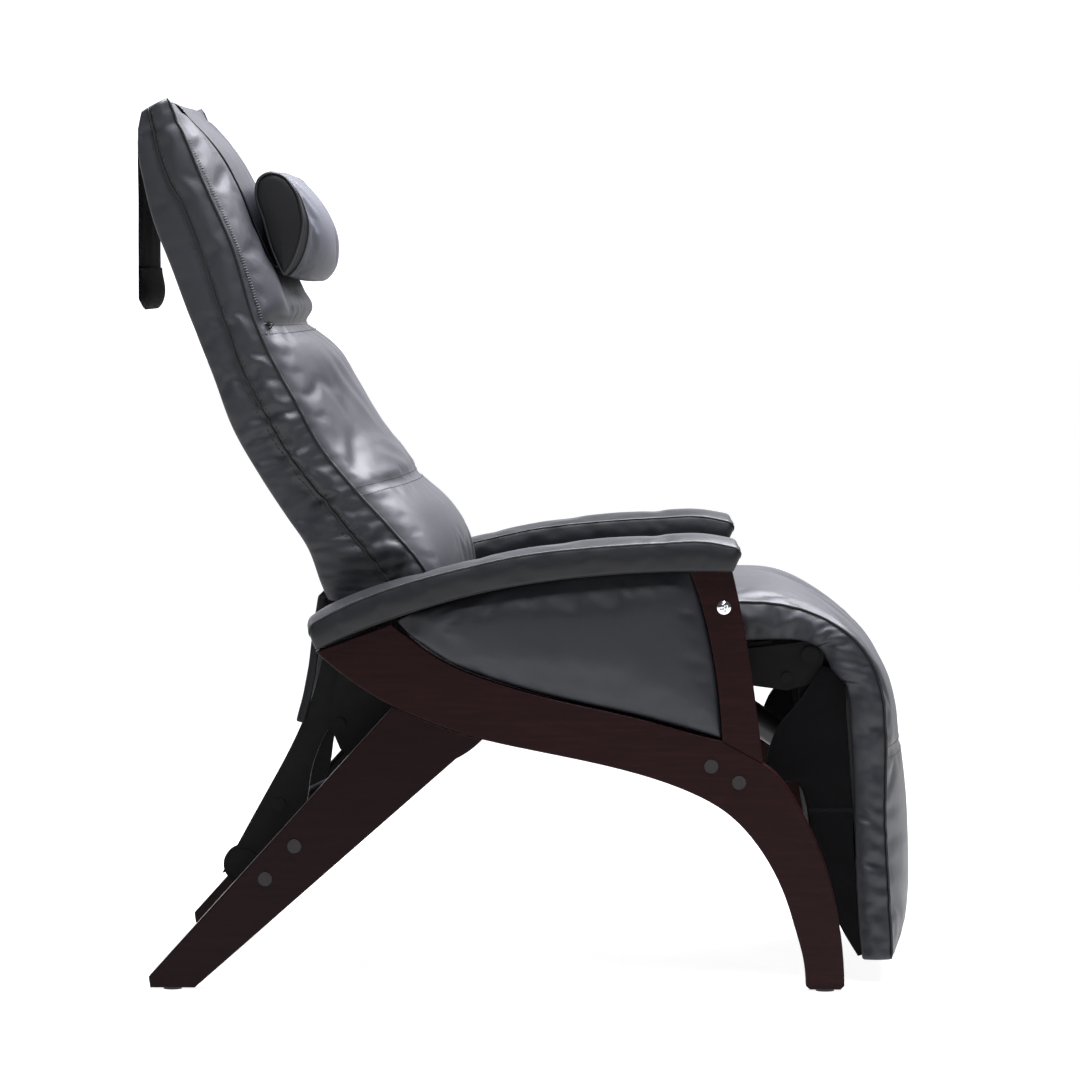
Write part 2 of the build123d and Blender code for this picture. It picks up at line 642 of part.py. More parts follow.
def leg_plate():
    """Steel arm from the knee pivot to the leg board and the cross bar."""
    corners = [(358, 426), (392, 438), (419, 389), (424, 344), (429, 276), (431, 236), (404, 224), (394, 246),
               (366, 330)]
    plate = right_slab(profile(corners[0], *[[c] for c in corners[1:]]), ARM_IN, ARM_OUT)
    plate += pin(KNEE_PIVOT, PIVOT_BOSS, -ARM_OUT, -ARM_IN) + pin(LEG_BAR, PIVOT_BOSS, -ARM_OUT, -ARM_IN)
    plate -= pin(KNEE_PIVOT, PIVOT_PIN + RUNNING, -ARM_OUT - 1, -ARM_IN + 1)
    return plate - pin(LEG_BAR, LEG_BAR_R, -ARM_OUT - 1, -ARM_IN + 1)


save("leg_board", leg_board())
save("calf_cushion", calf_cushion())
save("leg_lining", leg_lining())
save_pair("leg_plate", leg_plate())
save("leg_crossbar", plugged_pipe(LEG_BAR, LEG_BAR_R, ARM_OUT + 2) + clevis_ears(LEG_BAR, LEG_BAR_R, LEG_ROD_PIN))
save("leg_rod_pin", pin(LEG_ROD_PIN, ACTUATOR_PIN, -CLEVIS_OUT - 3, CLEVIS_OUT + 3))

# ---------------------------------------------------------------- actuators
ACT_TUBE_R, ACT_BORE_R, ROD_R = 17.0, 12.5, 10.0
GEARBOX = (24.0, 60.0)        # start and end from the fixed pin
MOTOR_R, MOTOR_OFFSET = 19.0, 46.0


def actuator_body(base_pin, rod_pin, mouth, motor_end, motor_side):
    """Outer tube, gearbox and motor in one housing, hinged on the fixed pin."""
    line = along(base_pin, rod_pin)
    start = (Align.CENTER, Align.CENTER, Align.MIN)
    body = line * Pos(0, 0, 8) * Cylinder(12, GEARBOX[0], align=start)
    body += pin(base_pin, 14, -EAR_IN + 0.5, EAR_IN - 0.5)
    box_low, box_high = -EAR_IN + 1, MOTOR_OFFSET + MOTOR_R
    gearbox = Pos(motor_side * (box_low + box_high) / 2, 0, GEARBOX[0]) * Box(
        box_high - box_low, 40, GEARBOX[1] - GEARBOX[0], align=start)
    body += line * fillet(gearbox.edges(), 5)
    body += line * Pos(0, 0, GEARBOX[1]) * Cylinder(ACT_TUBE_R, mouth - GEARBOX[1], align=start)
    body += line * Pos(motor_side * MOTOR_OFFSET, 0, GEARBOX[1]) * Cylinder(
        MOTOR_R, motor_end - GEARBOX[1], align=start)
    body -= line * Pos(0, 0, GEARBOX[0] + 14) * Cylinder(ACT_BORE_R, mouth, align=start)
    return body - pin(base_pin, ACTUATOR_PIN + RUNNING, -EAR_IN, EAR_IN)


def actuator_rod(rod_pin, base_pin, length):
    """Sliding rod with an eye on the moving pin."""
    start = (Align.CENTER, Align.CENTER, Align.MIN)
    rod = along(rod_pin, base_pin) * Cylinder(ROD_R, length, align=start) + pin(rod_pin, 14, -ROD_EYE, ROD_EYE)
    return rod - pin(rod_pin, ACTUATOR_PIN + RUNNING, -ROD_EYE - 1, ROD_EYE + 1)


save("back_actuator_body", actuator_body(BACK_BASE_PIN, BACK_ROD_PIN, 272, 190, 1))
save("back_actuator_rod", actuator_rod(BACK_ROD_PIN, BACK_BASE_PIN, 248))
save("leg_actuator_body", actuator_body(LEG_BASE_PIN, LEG_ROD_PIN, 196, 150, -1))
save("leg_actuator_rod", actuator_rod(LEG_ROD_PIN, LEG_BASE_PIN, 172))
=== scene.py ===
"""Zero gravity recliner: leather, piping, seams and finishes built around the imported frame."""
import bpy
import json
import numpy as np
from math import pi, radians, sin, cos
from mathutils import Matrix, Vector
from mathutils.bvhtree import BVHTree


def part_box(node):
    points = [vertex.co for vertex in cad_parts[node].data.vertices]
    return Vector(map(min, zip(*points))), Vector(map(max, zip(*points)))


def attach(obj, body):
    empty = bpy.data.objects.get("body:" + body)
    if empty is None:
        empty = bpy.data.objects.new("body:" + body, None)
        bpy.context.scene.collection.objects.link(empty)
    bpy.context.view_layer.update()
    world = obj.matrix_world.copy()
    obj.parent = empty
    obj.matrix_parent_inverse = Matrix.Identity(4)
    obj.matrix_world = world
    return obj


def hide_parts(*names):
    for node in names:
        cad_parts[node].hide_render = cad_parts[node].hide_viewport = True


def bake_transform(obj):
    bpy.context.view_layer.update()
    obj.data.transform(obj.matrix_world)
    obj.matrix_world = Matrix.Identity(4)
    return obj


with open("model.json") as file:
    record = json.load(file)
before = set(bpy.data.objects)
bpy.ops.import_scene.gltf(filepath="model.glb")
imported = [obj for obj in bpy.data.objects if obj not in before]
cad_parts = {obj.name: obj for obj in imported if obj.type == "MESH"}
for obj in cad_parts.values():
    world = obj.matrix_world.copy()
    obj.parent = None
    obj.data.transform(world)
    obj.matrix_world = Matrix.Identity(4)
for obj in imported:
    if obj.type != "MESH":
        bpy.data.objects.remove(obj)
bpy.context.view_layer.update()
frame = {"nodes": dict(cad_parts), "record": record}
NODES = frame["nodes"]
scene = bpy.context.scene

MM = 0.001
SEAT_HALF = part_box("seat_cushion")[1].y
BACK_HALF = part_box("head_cushion")[1].y
PILLOW_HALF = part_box("pillow")[1].y
STRAP_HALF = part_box("strap_flap")[1].y
SKIRT_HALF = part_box("back_skirt")[1].y
LINING_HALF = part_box("leg_lining")[1].y
ARM_INNER, ARM_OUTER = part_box("arm_pad_left")[0].y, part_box("arm_pad_left")[1].y
PANEL_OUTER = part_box("side_panel_left")[1].y
PIPING = 1.8 * MM


# ---------------------------------------------------------------- numbers
def smooth_curve(knots, values, at):
    """Smooth curve through the values at the knots, read at other places. Values are rows."""
    knots, values, at = np.asarray(knots, float), np.asarray(values, float), np.asarray(at, float)
    if values.ndim == 1:
        values = values[:, None]
    step = np.diff(knots)[:, None]
    slope = np.diff(values, axis=0) / step
    tangent = np.empty_like(values)
    tangent[0], tangent[-1] = slope[0], slope[-1]
    tangent[1:-1] = (slope[:-1] * step[1:] + slope[1:] * step[:-1]) / (step[:-1] + step[1:])
    i = np.clip(np.searchsorted(knots, at, side="right") - 1, 0, len(knots) - 2)
    t = ((at - knots[i]) / step[i, 0])[:, None]
    h = step[i]
    return ((2 * t**3 - 3 * t**2 + 1) * values[i] + (t**3 - 2 * t**2 + t) * h * tangent[i]
            + (3 * t**2 - 2 * t**3) * values[i + 1] + (t**3 - t**2) * h * tangent[i + 1])


def run_along(points):
    """Distance along a line from its start to each point."""
    return np.concatenate([[0], np.cumsum(np.linalg.norm(np.diff(points, axis=0), axis=1))])


def lengths_along(points):
    """Share of the length, from 0 to 1, at each point of a line."""
    run = run_along(np.asarray(points, float))
    return run / run[-1]


def dense_path(points, spacing):
    """Points at an even spacing on a smooth line through the given ones."""
    fine = smooth_curve(lengths_along(points), points, np.linspace(0, 1, 40 * len(points)))
    run = run_along(fine)
    at = np.linspace(0, 1, max(2, int(round(run[-1] / spacing)) + 1))
    return np.column_stack([np.interp(at, run / run[-1], column) for column in fine.T])


def bump(x, centre, width):
    """1 at the centre and falling smoothly to 0 at the width."""
    t = np.clip(1 - np.abs((x - centre) / width), 0, 1)
    return t * t * (3 - 2 * t)


def step_up(x, low, high):
    t = np.clip((x - low) / (high - low), 0, 1)
    return t * t * (3 - 2 * t)


# ---------------------------------------------------------------- meshes
def new_mesh(name, points, faces, material=None, shade_smooth=True):
    mesh = bpy.data.meshes.new(name)
    mesh.from_pydata([tuple(p) for p in points], [], faces)
    mesh.update()
    if shade_smooth:
        mesh.polygons.foreach_set("use_smooth", [True] * len(mesh.polygons))
    obj = bpy.data.objects.new(name, mesh)
    scene.collection.objects.link(obj)
    if material:
        mesh.materials.append(material)
    return obj


def get_co(obj):
    co = np.empty(len(obj.data.vertices) * 3)
    obj.data.vertices.foreach_get("co", co)
    return co.reshape(-1, 3)


def set_co(obj, co):
    obj.data.vertices.foreach_set("co", np.asarray(co, float).ravel())
    obj.data.update()


def normals(obj):
    n = np.empty(len(obj.data.vertices) * 3)
    obj.data.vertices.foreach_get("normal", n)
    return n.reshape(-1, 3)


def keep_rest(obj):
    """Stores the rest place of each point, which the leather reads, so that a pose doesn't move its grain."""
    attribute = obj.data.attributes.get("rest") or obj.data.attributes.new("rest", "FLOAT_VECTOR", "POINT")
    attribute.data.foreach_set("vector", get_co(obj).astype(np.float32).ravel())


def subdivide(obj, levels=1):
    modifier = obj.modifiers.new("smooth", "SUBSURF")
    modifier.levels = modifier.render_levels = levels


class BoxGrid:
    """Lattice on the six faces of a box: u across, v from front to rear, w along. A function shapes it."""

    def __init__(self, name, across, through, along, shape, material):
        self.size = (across, through, along)
        index, where = {}, []
        for k in range(along + 1):
            for j in range(through + 1):
                for i in range(across + 1):
                    if i in (0, across) or j in (0, through) or k in (0, along):
                        index[i, j, k] = len(where)
                        where.append((2 * i / across - 1, j / through, k / along))
        faces = []
        for k in range(along):
            for j in (0, through):
                for i in range(across):
                    quad = [index[i, j, k], index[i + 1, j, k], index[i + 1, j, k + 1], index[i, j, k + 1]]
                    faces.append(quad if j else quad[::-1])
            for i in (0, across):
                for j in range(through):
                    quad = [index[i, j, k], index[i, j, k + 1], index[i, j + 1, k + 1], index[i, j + 1, k]]
                    faces.append(quad if i else quad[::-1])
        for k in (0, along):
            for j in range(through):
                for i in range(across):
                    quad = [index[i, j, k], index[i, j + 1, k], index[i + 1, j + 1, k], index[i + 1, j, k]]
                    faces.append(quad if k else quad[::-1])
        self.index = index
        self.u, self.v, self.w = np.array(where).T
        self.obj = new_mesh(name, shape(self.u, self.v, self.w), faces, material)
        self.start = get_co(self.obj)

    def line(self, i=None, j=None, k=None):
        """Vertex numbers along the lattice line where two of the three places are fixed."""
        fixed = (i, j, k)
        loop = fixed.index(None)
        out = []
        for n in range(self.size[loop] + 1):
            key = list(fixed)
            key[loop] = n
            out.append(self.index[tuple(key)])
        return out


def simulate(obj, free, growth, pressure, cap, slack=None):
    """Inflates the leather by cloth simulation. free is 0 where a seam holds a point and 1 where it may move;
    slack, from 0 to 1, says how much of the growth each point gets; cap is the farthest a point goes."""
    start = get_co(obj)
    for name, values in (("held", 1 - free), ("tight", 0 * free if slack is None else 1 - slack)):
        group = obj.vertex_groups.new(name=name)
        for tenth in range(1, 11):
            chosen = np.nonzero(np.round(values * 10) == tenth)[0].tolist()
            if chosen:
                group.add(chosen, tenth / 10, "REPLACE")
    modifier = obj.modifiers.new("cloth", "CLOTH")
    cloth = modifier.settings
    cloth.quality, cloth.mass = 6, 0.35
    cloth.tension_stiffness = cloth.compression_stiffness = 15.0
    cloth.shear_stiffness, cloth.bending_stiffness = 7.5, 2.0
    cloth.vertex_group_mass, cloth.pin_stiffness = "held", 1.0
    cloth.use_pressure, cloth.uniform_pressure_force = True, pressure
    cloth.vertex_group_shrink = "tight"
    cloth.shrink_max, cloth.shrink_min = 0.0, -growth
    cloth.effector_weights.gravity = 0
    modifier.collision_settings.use_self_collision = False
    frames = 20
    modifier.point_cache.frame_start, modifier.point_cache.frame_end = 1, frames
    for number in range(1, frames + 1):
        scene.frame_set(number)
    moved_mesh = obj.evaluated_get(bpy.context.evaluated_depsgraph_get()).to_mesh()
    co = np.empty(len(moved_mesh.vertices) * 3)
    moved_mesh.vertices.foreach_get("co", co)
    obj.modifiers.remove(modifier)
    obj.vertex_groups.clear()
    scene.frame_set(1)
    move = co.reshape(-1, 3) - start
    far = np.linalg.norm(move, axis=1)
    limit = cap * np.tanh(far / cap) / np.maximum(far, 1e-9)
    set_co(obj, start + np.nan_to_num(move * limit[:, None]) * free[:, None])


def push(obj, amount):
    """Moves each point along its normal."""
    set_co(obj, get_co(obj) + normals(obj) * np.asarray(amount)[:, None])


def fold(co, a, b, width, height):
    """Soft ridge, or a crease if the height is negative, along the line from a to b, fading at both ends."""
    line = b - a
    t = np.clip(((co - a) @ line) / (line @ line), 0, 1)
    away = np.linalg.norm(co - (a + t[:, None] * line), axis=1)
    return height * np.exp(-(away / width) ** 2) * np.sin(pi * np.clip(t, 0.04, 0.96)) ** 0.6


def fold_heights(co, form, folds):
    """Height of all the folds at each point. Each runs on both sides of the chair between two places, as
    (across, through, along) in the pad's form, and has its width and height in mm."""
    total = 0
    for *places, width, height in folds:
        for side in (-1, 1):
            ends = [form(*np.array([[side * place[0]], [place[1]], [place[2]]]))[0] for place in places]
            total = total + fold(co, *ends, width * MM, height * MM)
    return total


def ring_faces(rings, around, first=0, closed=False, caps=False):
    """Quads between neighbouring rings of points, the first of which has the given number."""
    faces = []
    for n in range(rings if closed else rings - 1):
        a, b = first + n * around, first + (n + 1) % rings * around
        faces += [[a + s, a + (s + 1) % around, b + (s + 1) % around, b + s] for s in range(around)]
    if caps:
        last = first + (rings - 1) * around
        faces += [list(range(first, first + around))[::-1], list(range(last, last + around))]
    return faces


def tube(name, path, radius, material, sides=8, closed=False):
    """Round cord mesh along a path. An open cord thins out at its ends."""
    count, run = len(path), run_along(path)
    thick = np.full(count, radius)
    if closed:
        tangent = np.roll(path, -1, axis=0) - np.roll(path, 1, axis=0)
    else:
        thick = radius * (0.3 + 0.7 * step_up(np.minimum(run, run[-1] - run), 0, 5 * radius))
        longer = np.vstack([2 * path[0] - path[1], path, 2 * path[-1] - path[-2]])
        tangent = longer[2:] - longer[:-2]
    tangent /= np.linalg.norm(tangent, axis=1)[:, None]
    side = np.cross(tangent[0], (0.31, 0.83, 0.46))
    points = []
    for n in range(count):
        side = side - tangent[n] * (side @ tangent[n])
        side /= np.linalg.norm(side)
        other = np.cross(tangent[n], side)
        for angle in 2 * pi * np.arange(sides) / sides:
            points.append(path[n] + thick[n] * (cos(angle) * side + sin(angle) * other))
    return new_mesh(name, points, ring_faces(count, sides, closed=closed, caps=not closed), material)


def join(name, objects):
    """One piece from several."""
    points, faces, materials, slots = [], [], [], []
    for obj in objects:
        base = len(points)
        points.extend(v.co.copy() for v in obj.data.vertices)
        for face in obj.data.polygons:
            faces.append([base + v for v in face.vertices])
            material = obj.data.materials[face.material_index] if obj.data.materials else None
            if material not in materials:
                materials.append(material)
            slots.append(materials.index(material))
        bpy.data.objects.remove(obj)
    out = new_mesh(name, points, faces)
    for material in materials:
        out.data.materials.append(material)
    out.data.polygons.foreach_set("material_index", slots)
    return out


def stitches(name, path, surface_normals, length, gap, radius, material, across=None):
    """Separate thread stitches along a path, in one mesh. With across, each lies across the path at that
    length."""
    run = run_along(path)
    share, total = run / run[-1], run[-1]
    count = int(total / (length + gap))
    points, faces = [], []
    for n in range(count):
        middle = (n + 0.5) / count
        ends = np.clip([middle - length / 2 / total, middle + length / 2 / total], 0, 1)
        at = np.column_stack([np.interp([middle, *ends], share, path[:, k]) for k in range(3)])
        up = np.array([np.interp(middle, share, surface_normals[:, k]) for k in range(3)])
        up /= np.linalg.norm(up)
        direction = at[2] - at[1]
        direction /= np.linalg.norm(direction)
        side, half = np.cross(up, direction), length / 2
        if across:
            direction, side, half = side, direction, across / 2
        centre = at[0] + up * 0.4 * MM
        faces += ring_faces(4, 5, first=len(points), caps=True)
        for end in (-1, -0.6, 0.6, 1):
            thick = radius * (0.45 if abs(end) == 1 else 1)
            for angle in 2 * pi * np.arange(5) / 5:
                points.append(centre + direction * half * end + thick * (cos(angle) * side + sin(angle) * up))
    return new_mesh(name, points, faces, material)


# ---------------------------------------------------------------- materials
class Shader:
    """Small helper to wire a node material. With rest, its textures stay put on a piece that bends."""

    def __init__(self, name, rest=False):
        self.material = bpy.data.materials.new(name)
        self.material.use_nodes = True
        self.nodes, self.links = self.material.node_tree.nodes, self.material.node_tree.links
        self.bsdf = self.nodes["Principled BSDF"]
        if rest:
            self.place = self.add("Attribute", attribute_name="rest").outputs["Vector"]
        else:
            self.place = self.add("TexCoord").outputs["Object"]

    def add(self, kind, links=(), values=(), **settings):
        """New node with its settings, and what links to its sockets or sets them, by the sockets' names."""
        node = self.nodes.new("ShaderNode" + kind)
        for key, value in settings.items():
            setattr(node, key, value)
        for key, value in dict(values).items():
            node.inputs[key].default_value = value
        for key, socket in dict(links).items():
            self.links.new(socket, node.inputs[key])
        return node

    def set(self, **values):
        for key, value in values.items():
            self.bsdf.inputs[key.replace("_", " ")].default_value = value

    def stretched(self, scale, turn=(0, 0, 0)):
        values = {"Scale": scale, "Rotation": turn}
        return self.add("Mapping", {"Vector": self.place}, values).outputs["Vector"]

    def noise(self, scale, detail=3.0, roughness=0.5, place=None, distortion=0.0):
        values = {"Scale": scale, "Detail": detail, "Roughness": roughness, "Distortion": distortion}
        return self.add("TexNoise", {"Vector": place or self.place}, values).outputs["Fac"]

    def cells(self, scale):
        """Distance to the edge of irregular cells."""
        return self.add("TexVoronoi", {"Vector": self.place}, {"Scale": scale},
                        feature="DISTANCE_TO_EDGE").outputs["Distance"]

    def wave(self, scale, direction, place=None):
        return self.add("TexWave", {"Vector": place or self.place}, {"Scale": scale},
                        bands_direction=direction).outputs["Fac"]

    def ramp(self, value, *stops):
        node = self.add("ValToRGB", {"Fac": value})
        elements = node.color_ramp.elements
        while len(elements) < len(stops):
            elements.new(0.5)
        for element, (position, colour) in zip(elements, stops):
            element.position, element.color = position, (*colour, 1)
        return node.outputs["Color"]

    def spread(self, value, low, high):
        """The value, from 0 to 1, spread between two numbers."""
        return self.add("MapRange", {"Value": value}, {"To Min": low, "To Max": high}).outputs["Result"]

    def sum(self, a, b, share=1.0):
        return self.add("Math", {0: b, 2: a}, {1: share}, operation="MULTIPLY_ADD").outputs["Value"]

    def bump(self, height, strength, distance):
        """Relief on top of what the normal socket already holds."""
        node = self.add("Bump", {"Height": height}, {"Strength": strength, "Distance": distance})
        for link in self.bsdf.inputs["Normal"].links:
            self.links.new(link.from_socket, node.inputs["Normal"])
        self.links.new(node.outputs["Normal"], self.bsdf.inputs["Normal"])

    def colour(self, socket):
        self.links.new(socket, self.bsdf.inputs["Base Color"])

    def rough(self, socket):
        self.links.new(socket, self.bsdf.inputs["Roughness"])


def leather(name, dark, light, rough=(0.42, 0.54), gloss=0.5, pleats=0.0):
    """Soft charcoal leather: fine pebble grain, faint colour clouds and a worn, satin gloss."""
    s = Shader(name, rest=True)
    clouds = s.noise(9, 4, 0.55)
    s.colour(s.ramp(clouds, (0.3, dark), (0.7, light)))
    grain = s.cells(620)
    pores = s.noise(900, 2)
    s.rough(s.spread(s.noise(24, 3), *rough))
    s.set(Specular_IOR_Level=gloss, IOR=1.47)
    s.bump(s.noise(38, 3, 0.5), 0.25, 1.2 * MM)
    if pleats:
        s.bump(s.wave(1 / pleats / 2, "Y", place=s.stretched((0.12, 1, 0.12))), 0.5, 0.5 * MM)
    s.bump(s.sum(s.ramp(grain, (0.0, (0, 0, 0)), (0.22, (1, 1, 1))), pores, 0.5), 0.22, 0.25 * MM)
    return s.material


def wood(name, turn, shade=1.0):
    """Espresso-stained wood under a satin lacquer. turn is the grain's slope in the side view, in degrees;
    shade darkens the tones, painted shade on the rear legs.
    """
    s = Shader(name)
    lined = s.stretched((4.5, 26, 60), (0, radians(turn), 0))
    long_grain = s.noise(3.2, 6, 0.6, place=lined, distortion=0.4)
    fine = s.noise(16, 4, 0.65, place=lined)
    tones = [tuple(shade * c for c in tone) for tone in
             ((0.0070, 0.0019, 0.0020), (0.0115, 0.0031, 0.0033), (0.0200, 0.0056, 0.0058))]
    s.colour(s.ramp(s.sum(s.spread(long_grain, 0.1, 0.8), fine, 0.25), *zip((0.25, 0.55, 0.85), tones)))
    s.rough(s.spread(fine, 0.3, 0.42))
    s.set(Coat_Weight=0.02, Coat_Roughness=0.2, IOR=1.5, Specular_IOR_Level=0.08)
    s.bump(fine, 0.12, 0.3 * MM)
    return s.material


def even(name, dark, light, clouds, rough, patches):
    """Shader of an even finish: two close tones in clouds, and patches of roughness."""
    s = Shader(name)
    s.colour(s.ramp(s.noise(*clouds), (0.3, dark), (0.7, light)))
    s.rough(s.spread(s.noise(*patches), *rough))
    return s


def metal(name, colour, rough, brushed=0.0):
    s = even(name, tuple(0.88 * c for c in colour), colour, (40, 4), (rough * 0.8, rough * 1.2), (140, 3))
    s.set(Metallic=1.0)
    if brushed:
        s.bump(s.noise(600, 2, place=s.stretched((1, 0.06, 1))), brushed, 0.1 * MM)
    return s.material


def powder_coat(name):
    """Matt black powder coat with its fine orange-peel texture."""
    s = even(name, (0.0022, 0.0022, 0.0024), (0.0038, 0.0038, 0.004), (60, 3), (0.42, 0.58), (220, 2))
    s.set(Specular_IOR_Level=0.12)
    s.bump(s.noise(900, 2), 0.25, 0.2 * MM)
    return s.material


def woven(name, dark, light, pitch, rough=0.85):
    """Plain woven cloth with crossing threads."""
    s = Shader(name)
    across = s.wave(1 / pitch / 2, "X", place=s.stretched((1, 1, 1), (0, 0, pi / 4)))
    up = s.wave(1 / pitch / 2, "Z")
    weave = s.sum(s.spread(across, 0, 0.5), up, 0.5)
    s.colour(s.ramp(s.sum(s.spread(weave, 0, 0.7), s.noise(30, 3), 0.3), (0.2, dark), (0.8, light)))
    s.set(Roughness=rough, Sheen_Weight=0.02, Sheen_Roughness=0.5, Specular_IOR_Level=0.06)
    s.bump(weave, 0.5, 0.4 * MM)
    return s.material


def plastic(name, colour, rough=0.45):
    dark = tuple(0.85 * c for c in colour)
    s = even(name, dark, colour, (50, 3), (rough * 0.9, rough * 1.15), (160, 2))
    s.bump(s.noise(1200, 2), 0.2, 0.12 * MM)
    return s.material


def plywood(name):
    """Dark-stained plywood with thin plies seen at its edges."""
    s = Shader(name)
    lined = s.stretched((3, 18, 18))
    s.colour(s.ramp(s.sum(s.spread(s.noise(4, 5, 0.6, place=lined), 0, 0.75), s.wave(220, "Z"), 0.25),
                    (0.25, (0.006, 0.0045, 0.004)), (0.75, (0.012, 0.009, 0.008))))
    s.rough(s.spread(s.noise(60, 3), 0.5, 0.7))
    s.bump(s.noise(30, 4, place=lined), 0.15, 0.3 * MM)
    return s.material


LEATHER = leather("leather_charcoal", (0.0072, 0.0078, 0.0106), (0.0112, 0.0120, 0.0158))
# A darker copy of the charcoal leather, painted shade: on the pillow's end bands and caps, the skirt under the
# back and the tongue behind the seat.
LEATHER_PAINTED_SHADE = leather("leather_painted_shade", (0.0032, 0.0033, 0.0042), (0.0052, 0.0054, 0.0066), (0.40, 0.52), 0.24)
# A much lighter copy of the charcoal leather, with pleats, for the pillow's body: a painted sheen.
LEATHER_PLEATED_PAINTED_LIGHT = leather("leather_pleated_painted_light", (0.026, 0.0275, 0.035), (0.038, 0.040, 0.050), pleats=4.2 * MM)
# A darker copy of the charcoal leather for the arm pads: painted shade.
LEATHER_ARM_PAINTED_SHADE = leather("leather_arm_painted_shade", (0.0040, 0.0043, 0.0056), (0.0062, 0.0066, 0.0082), (0.38, 0.48), 0.36)
PIPE = leather("piping_leather", (0.0055, 0.0055, 0.0065), (0.010, 0.010, 0.011), (0.35, 0.45), 0.4)
THREAD = plastic("black_thread", (0.012, 0.012, 0.013), 0.6)
# The rear legs' wood takes 0.6 of the tones: painted shade.
WOOD_RAIL, WOOD_LEG_PAINTED_SHADE, WOOD_POST = wood("wood_rail", 18), wood("wood_leg_painted_shade", -40, 0.6), wood("wood_post", 78)
BLACK_STEEL = powder_coat("black_powder_coat")
CLOTH = woven("black_cloth", (0.0015, 0.0015, 0.0018), (0.0038, 0.0038, 0.0042), 1.1 * MM)

# ---------------------------------------------------------------- camera, light and floor
def add_camera():
    """The viewing angle: a long lens from the chair's right, level with its back."""
    data = bpy.data.cameras.new("camera")
    data.lens, data.sensor_width = 172.24, 36.0
    camera = bpy.data.objects.new("camera", data)
    camera.location = (0.182, -7.0, 0.950)
    camera.rotation_euler = (radians(90 - 3.131), 0, radians(1.355))
    data.clip_start, data.clip_end = 0.1, 60
    scene.collection.objects.link(camera)
    scene.camera = camera


def area_light(name, place, target, size, power):
    data = bpy.data.lights.new(name, "AREA")
    data.energy, data.size, data.color = power, size, (0.93, 0.935, 1.0)
    light = bpy.data.objects.new(name, data)
    light.location = place
    light.rotation_euler = (Vector(target) - Vector(place)).to_track_quat("-Z", "Y").to_euler()
    scene.collection.objects.link(light)


def add_stage():
    world = bpy.data.worlds.new("studio")
    scene.world = world
    world.use_nodes = True
    nodes, links = world.node_tree.nodes, world.node_tree.links
    direction = nodes.new("ShaderNodeSeparateXYZ")
    links.new(nodes.new("ShaderNodeTexCoord").outputs["Generated"], direction.inputs["Vector"])
    level = nodes.new("ShaderNodeMapRange")
    level.inputs["From Min"].default_value, level.inputs["From Max"].default_value = 0.62, 0.99
    level.inputs["To Min"].default_value, level.inputs["To Max"].default_value = 0.085, 1.6
    links.new(direction.outputs["Y"], level.inputs["Value"])
    links.new(level.outputs["Result"], nodes["Background"].inputs["Strength"])
    nodes["Background"].inputs["Color"].default_value = (0.94, 0.94, 1.0, 1)
    scene.view_settings.view_transform = "Standard"
    area_light("key", (1.3, 0.9, 3.3), (0.2, 0, 0.5), 2.0, 300)
    area_light("top", (0.0, -0.4, 3.3), (0.1, 0, 0.5), 1.5, 330)
    area_light("near", (0.3, -2.6, 3.0), (0, 0, 0.6), 0.8, 42)
    area_light("rear", (-2.8, 1.2, 2.4), (-0.3, 0, 0.7), 1.6, 60)
    s = Shader("pale_floor")
    s.colour(s.ramp(s.noise(0.8, 2), (0.3, (0.23, 0.23, 0.23)), (0.7, (0.25, 0.25, 0.25))))
    s.set(Roughness=0.8, Specular_IOR_Level=0.1, Emission_Color=(1, 1, 1, 1), Emission_Strength=0.92)
    corners = [(-40, -40, 0), (40, -40, 0), (40, 40, 0), (-40, 40, 0)]
    new_mesh("floor", corners, [[0, 1, 2, 3]], s.material)


